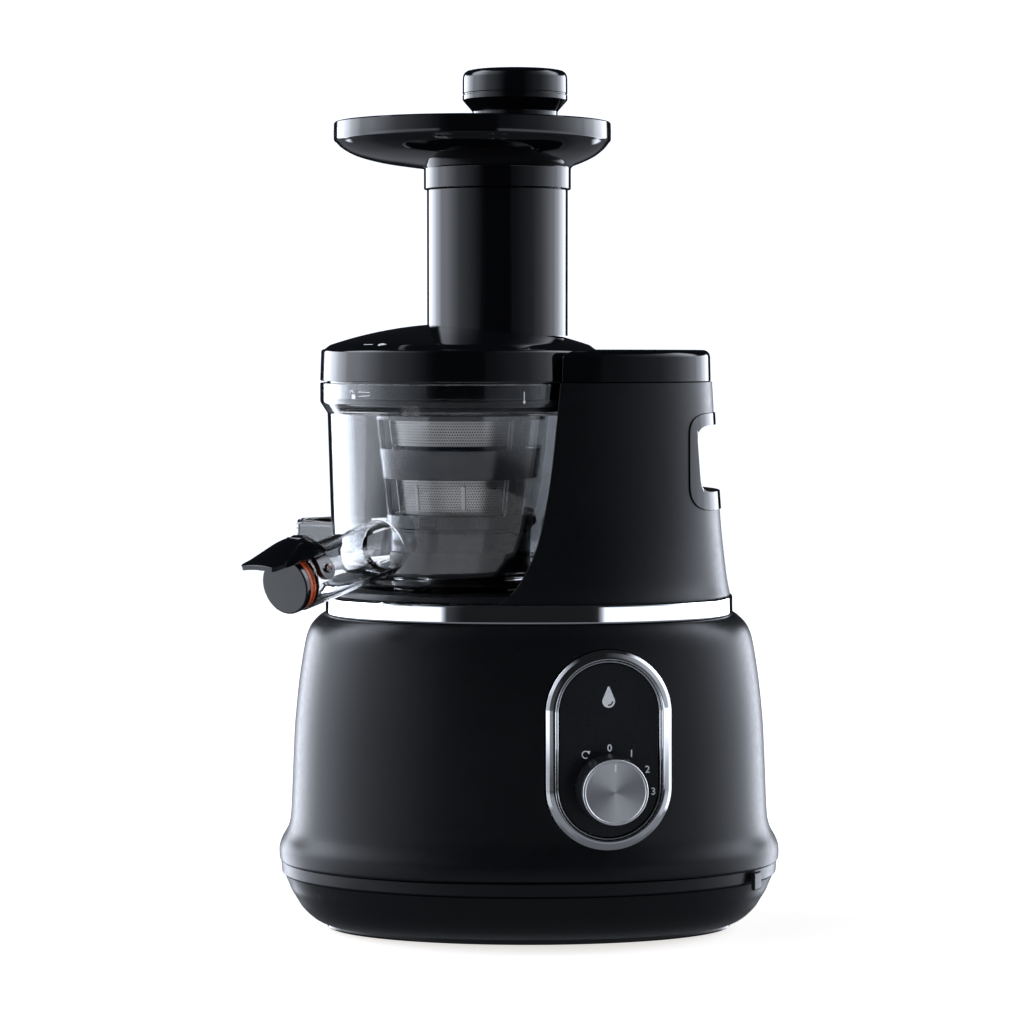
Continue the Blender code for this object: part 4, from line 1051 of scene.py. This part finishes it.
# Along the spout, crest height, radius across, half width
LEVER_ROWS = [(118.9, 19.9, 19.7, 12.5), (119.5, 20.3, 19.8, 14.8), (123, 20.6, 20.0, 15.4),
              (128, 20.4, 19.4, 15.0), (133, 19.6, 19.4, 14.4), (139, 18.2, 22, 13.6), (145, 16.4, 30, 12.4),
              (150, 14.9, 50, 11.0), (151.6, 14.5, 60, 10.0), (152, 14.2, 70, 9.0)]


def cap_lever(paint):
    """A saddle over the bracket that flattens into a finger tab."""
    thick, rings = 2.1, []
    for s, top, radius, half in smooth_rows(LEVER_ROWS, 4):
        reach, low = math.asin(half / radius), radius - thick
        angles = [reach * (i / 12 - 1) for i in range(25)]
        over = [(radius * math.sin(t), top - radius + radius * math.cos(t), s) for t in angles]
        under = [(low * math.sin(t) * 0.985, top - radius + low * math.cos(t), s) for t in reversed(angles)]
        rings.append(over + under)
    lever = loft("cap_lever_fine", rings)
    cut(lever, box("knuckle_slot", (-3.8, 10, 110), (3.8, 30, 125.5)))
    soften(lever, 0.45, 2, 50)
    join(lever, cross_bar("hinge_pin", CAP_PIN_R, 7.3, CAP_HINGE),
         box("catch", (-1.6, 11.0, 147.2), (1.6, 13.6, 149.6), 0.7))
    dress(placed(lever, spout_matrix()), paint, "juice_cap", ["cap_lever"], 40)


# ---------------------------------------------------------------- lid, tray and pusher

def dome_z(radius):
    return DOME_TOP - (DOME_CURVE - math.sqrt(DOME_CURVE ** 2 - radius ** 2))


def lid(paint):
    dome = [(3.4 * i, dome_z(3.4 * i)) for i in range(20)]
    rest = rounded([(68.9, 289.9, 1.6), (RIM_R, 274.3, 0.5), (66.0, 274.3), (66.0, 265.8, 0.4),
                    (62.5, 265.8, 0.4), (62.5, 286), (52, 292), (36, 295.6), (9, 298.4), (9, 272, 0.4),
                    (4.3, 272, 0.4), (4.3, 289.5), (0, 289.5)])
    cover = turned("lid_fine", dome + rest, (BOWL_X, 0))
    tube = rounded([(0, 296.5), (TUBE_R, 296.5), (TUBE_R, TUBE_TOP, 0.5), (0, TUBE_TOP)])
    join(cover, turned("tube", tube, (TUBE_X, 0)))
    cut(cover, cylinder("hollow", TUBE_R - 2.6, 305, 380, (TUBE_X, 0), FINE))
    join(cover, cylinder("sleeve", CHUTE_R + 4.6, 300, 367, (CHUTE_X, 0), FINE))
    cut(cover, cylinder("bore", CHUTE_R + 2.4, 290.5, 380, (CHUTE_X, 0), FINE))
    dress(cover, paint, "lid", ["lid"], 30)


def lid_gasket(paint):
    profile = rounded([(66.0, 265.4, 0.8), (66.0, 262.4, 0.8), (62.5, 262.4, 0.8), (62.5, 265.4, 0.8)])
    dress(turned("lid_gasket_fine", profile, (BOWL_X, 0)), paint, "gasket", ["lid_gasket"])


TRAY_INSIDE = [(382.3, -8.5, 23.5), (383.2, -19, 37.5), (386.2, -25, 52.5), (389.6, -27.4, 60.6),
               (395, -28.15, 66.0), (401.4, -28.15, 66.5)]
TRAY_RIM = [(401.85, -28.15, 66.9), (402, -28.15, 67.5), (401.85, -28.15, 68.2), (401.3, -28.15, 68.6),
            (397, -28.15, 68.75), (393.4, -28.15, 68.7), (392.7, -28.1, 68.35)]
TRAY_UNDER = [(392.2, -28.0, 67.7), (389.2, -27.6, 64.9), (385.6, -26.4, 59.2), (382.6, -23.8, 50.6),
              (380.8, -20.4, 42.6), (379.6, -16.4, 37.3)]


def feed_tray(paint):
    bore = CHUTE_R
    collar = [(379.1, TUBE_X, 36.55), (378.7, TUBE_X, 36.5), (369.3, TUBE_X, 36.5), (369, TUBE_X, 36.2)]
    sleeve = [(z, CHUTE_X, bore + more) for z, more in ((369, 2.1), (330.3, 2.1), (330, 1.8), (330, 0.3),
                                                        (330.3, 0), (381.4, 0), (382, 0.8))]
    path = smooth_rows(TRAY_INSIDE, 4) + TRAY_RIM + smooth_rows(TRAY_UNDER, 4) + collar + sleeve
    tray = loft("feed_tray_fine", [circle(*row) for row in path], closed=True)
    dress(tray, paint, "tray", ["feed_tray"], 30)


def pusher(paint):
    top, stem = PUSHER_TOP, CHUTE_R - 0.5
    head = [(0, top), (18, top - 0.1), (25.9, top - 0.6, 4.6), (26, top - 11.6, 0.2), (25.7, top - 11.9, 0.1),
            (25.7, top - 12.4, 0.1), (26, top - 12.7, 0.2), (26, top - 14.9, 0.6), (24.9, top - 16.2, 0.8)]
    profile = rounded(head + [(stem, top - 20.6, 1.5), (stem, 303, 0.5), (stem - 3, 303, 0.5),
                              (stem - 3, 406, 1.0), (0, 406)])
    dress(turned("pusher_fine", profile, (CHUTE_X, 0)), paint, "pusher", ["pusher"], 30)


# ---------------------------------------------------------------- printed marks

def on_rim(name, outline, azimuth):
    """An outline of (along, height) wrapped round the bowl's rim."""
    return loft(name, [[bowl_point(RIM_R + lift, azimuth + u / RIM_R, z) for u, z in outline]
                       for lift in PRINT_LIFTS])


def on_dome(name, outline):
    """An outline of (along, outward) laid on the lid."""
    def point(u, v, lift):
        radius = LID_PRINT_R + v
        return bowl_point(radius, LID_PRINT_AZIMUTH + u / LID_PRINT_R, dome_z(radius) + lift)

    return loft(name, [[point(u, v, lift) for u, v in outline] for lift in PRINT_LIFTS])


def rim_marks(ink_with_painted_glow):
    """Open padlock with closing lines at the left, and a small arrow at the right."""
    left, right, mid = math.radians(-137), math.radians(-63), RIM_PRINT_Z
    marks = [on_rim("lock_body", rectangle(1.3, mid - 2.2, mid, 0.3, 4), left),
             on_rim("shackle", stroke(arc((-1.3, mid + 0.8), 1.1, -10, 190), 0.42), left)]
    for lift, tilt in ((1.3, -0.2), (-0.9, 0.5)):
        line = [(3.6, mid + lift), (7.2, mid + lift + tilt / 2), (11.0, mid + lift + tilt)]
        marks.append(on_rim("line", stroke(line, 0.3), left))
    marks.append(on_rim("arrow_stem", stroke([(0, mid - 3.6), (0, mid + 1.6)], 0.4), right))
    marks.append(on_rim("arrow_tip", [(-0.9, mid - 2.9), (0, mid - 4.4), (0.9, mid - 2.9)], right))
    dress(gathered("rim_marks", marks), ink_with_painted_glow, "bowl")


def lid_marks(ink_with_painted_glow):
    """A short line and a drop near the dome's edge."""
    line = on_dome("lid_line", stroke([(-9, 0), (-6, 0), (-3, 0)], 0.5))
    drop = on_dome("lid_drop", arc((2.2, 0), 1.5, 60, 300, 16) + [(5.4, -0.2), (5.4, 0.2)])
    dress(gathered("lid_marks", (line, drop)), ink_with_painted_glow, "lid")


# ---------------------------------------------------------------- carried-over pieces

def dress_frame(paints):
    """Gives every frame piece that still shows the material of its slot."""
    slots = {part["node"]: part["material_slot"] for part in frame["record"]["subparts"]}
    for name, obj in frame["nodes"].items():
        obj.data.materials.clear()
        obj.data.materials.append(paints[slots[name]])


# ---------------------------------------------------------------- stage, light and camera

# The camera's places are in metres
CAMERA_AT = (-0.0165, -1.5172, 0.297)
CAMERA_TARGET = (-0.0085, 0.0, 0.2086)
CAMERA_LENS = 106.9


def camera():
    data = bpy.data.cameras.new("camera")
    data.lens = CAMERA_LENS
    data.clip_end = 50.0
    seat = link("camera", data)
    seat.location = CAMERA_AT
    seat.rotation_mode = "QUATERNION"
    seat.rotation_quaternion = (Vector(CAMERA_TARGET) - Vector(CAMERA_AT)).to_track_quat("-Z", "Y")
    bpy.context.scene.camera = seat


def floor(paint):
    """A wide pale disc just under the feet, which doesn't show in reflections."""
    disc = turned("floor", [(0, -0.4), (2000, -0.4), (2000, -5), (0, -5)], steps=FINE)
    disc.data.materials.append(paint)
    disc.visible_glossy = False
    disc.visible_diffuse = False


def by_bearing(power, levels):
    """Ramp stops from bearings in degrees, positive to the right of the front."""
    return [(0.5 + bearing / 360.0, level / power) for bearing, level in levels]


# A panel's brightness by bearing, as a share of its power, is multiplied by its brightness by height.
# Heights run from 0 straight down over 0.5 at the horizon to 1 straight up.
PANEL_POWER, STRIP_POWER = 7.5, 1.25
BACKDROP_LEVEL = 1.15           # what the camera sees
SEEN_THROUGH, NO_CAP = 0.7, 100.0   # the most that shows straight through the clear plastic
STUDIO_TINT = (0.91, 0.965, 1.08, 1.0)
AMBIENT = [(0.0, 0.12), (0.15, 0.13), (0.2, 0.22), (0.39, 0.22), (0.43, 0.012), (1.0, 0.012)]
SIDE_PANELS = by_bearing(PANEL_POWER, [
    (-118, 0.0), (-108, 2.6), (-91, 2.8), (-64, 0.8), (-30, 0.08), (-19, 0.0),
    (17, 0.0), (30, 0.03), (58, 0.25), (75, 0.8), (100, 2.4), (108, 2.2), (118, 0.0)])
SIDE_HEIGHT = [(0.28, 0.0), (0.31, 0.85), (0.5, 0.95), (0.6, 1.2), (0.68, 2.2), (0.86, 2.2), (0.9, 0.0)]
REAR_PANELS = by_bearing(PANEL_POWER, [
    (-152, 0.0), (-148, 7.5), (-124, 6.5), (-117, 4.6), (-105, 0.0),
    (105, 0.0), (117, 3.6), (124, 5.4), (147, 6.5), (150, 0.0)])
REAR_HEIGHT = [(0.28, 0.0), (0.31, 0.85), (0.5, 0.95), (0.58, 1.05), (0.62, 0.0)]
FRONT_STRIPS = by_bearing(1.0, [
    (-100, 0.0), (-80, 1.0), (-28, 1.0), (-26, 0.0), (20.5, 0.0), (22.5, 1.0), (80, 1.0), (100, 0.0)])
STRIP_HEIGHT = [(0.449, 0.0), (0.458, 1.0), (0.478, 1.0), (0.485, 0.05), (0.6, 0.03), (0.7, 0.0)]
LIGHTS = [(PANEL_POWER, SIDE_PANELS, SIDE_HEIGHT), (PANEL_POWER, REAR_PANELS, REAR_HEIGHT),
          (STRIP_POWER, FRONT_STRIPS, STRIP_HEIGHT)]


def calculate(tree, operation, *values):
    return add_node(tree, "Math", dict(enumerate(values)), operation=operation).outputs["Value"]


def ramp(tree, source, points):
    """Brightness along a source from 0 to 1."""
    node = add_node(tree, "ValToRGB", {"Fac": source})
    stops = node.color_ramp.elements
    while len(stops) < len(points):
        stops.new(0.5)
    for stop, (place, level) in zip(stops, points):
        stop.position = place
        stop.color = (level, level, level, 1.0)
    return node.outputs["Color"]


def panel_light(tree):
    """What every ray but the camera's meets: ambient light, side and rear panels and two front strips."""
    direction = add_node(tree, "TexCoord", {})
    parts = add_node(tree, "SeparateXYZ", {"Vector": direction.outputs["Generated"]})
    bearing = calculate(tree, "ARCTAN2", parts.outputs["X"],
                        calculate(tree, "MULTIPLY", parts.outputs["Y"], -1.0))
    around = calculate(tree, "ADD", calculate(tree, "DIVIDE", bearing, 2 * math.pi), 0.5)
    rise = calculate(tree, "MULTIPLY_ADD", parts.outputs["Z"], 0.5, 0.5)
    level = ramp(tree, rise, AMBIENT)
    for power, bearings, heights in LIGHTS:
        share = calculate(tree, "MULTIPLY", ramp(tree, around, bearings), ramp(tree, rise, heights))
        level = calculate(tree, "MULTIPLY_ADD", share, power, level)
    return level


def studio():
    """A white backdrop for the camera, and for all other rays a dim room with light panels."""
    world = bpy.data.worlds.new("studio")
    world.use_nodes = True
    bpy.context.scene.world = world
    tree = world.node_tree
    tree.nodes.clear()
    path = add_node(tree, "LightPath", {})
    bounced = calculate(tree, "ADD", path.outputs["Glossy Depth"], path.outputs["Diffuse Depth"])
    through = calculate(tree, "MULTIPLY", path.outputs["Is Transmission Ray"],
                        calculate(tree, "LESS_THAN", bounced, 0.5))
    cap = calculate(tree, "MULTIPLY_ADD", through, SEEN_THROUGH - NO_CAP, NO_CAP)
    level = calculate(tree, "MINIMUM", panel_light(tree), cap)
    seen = path.outputs["Is Camera Ray"]
    unseen = calculate(tree, "SUBTRACT", 1.0, seen)
    strength = calculate(tree, "ADD", calculate(tree, "MULTIPLY", level, unseen),
                         calculate(tree, "MULTIPLY", seen, BACKDROP_LEVEL))
    glow = add_node(tree, "Background", {"Color": STUDIO_TINT, "Strength": strength})
    add_node(tree, "OutputWorld", {"Surface": glow.outputs["Background"]})


# ---------------------------------------------------------------- assembly

PAINTS = (matte_black, gloss_black, satin_black, clear_plastic, smoky_plastic, grey_plastic, gear_plastic,
          chrome, knob_aluminium, steel, mesh_steel, rubber, red_silicone, pale_silicone, board, print_white,
          floor_paint)
PIECES = [
    (floor, "floor_paint"),
    (foot_plate, "gloss_black"),
    (rubber_feet, "rubber"),
    (base_screws, "steel"),
    (bottom_pan, "matte_black"),
    (cord_gland, "rubber"),
    (side_lug, "matte_black"),
    (base_housing, "matte_black"),
    (chrome_band, "chrome"),
    (upper_housing, "matte_black"),
    (tower_cap, "gloss_black"),
    (handle_insert, "gloss_black"),
    (bezel_ring, "chrome"),
    (control_panel, "satin_black"),
    (knob, "satin_black", "knob_aluminium", "print_white"),
    (dial_marks, "print_white"),
    (juice_bowl, "clear_plastic"),
    (bowl_packing, "rubber"),
    (strainer_frame, "grey_plastic"),
    (mesh_sleeves, "mesh_steel"),
    (sleeve_ribs, "mesh_steel"),
    (brush_holder, "grey_plastic", "smoky_plastic"),
    (wiper_blades, "pale_silicone"),
    (auger, "grey_plastic"),
    (spout_cap, "gloss_black", "red_silicone"),
    (cap_bracket, "gloss_black"),
    (cap_lever, "gloss_black"),
    (lid, "gloss_black"),
    (lid_gasket, "rubber"),
    (feed_tray, "gloss_black"),
    (pusher, "gloss_black"),
    (rim_marks, "print_white"),
    (lid_marks, "print_white"),
]


def main():
    paints = {make.__name__: make() for make in PAINTS}
    camera()
    studio()
    for make, *names in PIECES:
        make(*(paints[name] for name in names))
    dress_frame(paints)
    bpy.context.scene.view_settings.view_transform = "Standard"


main()
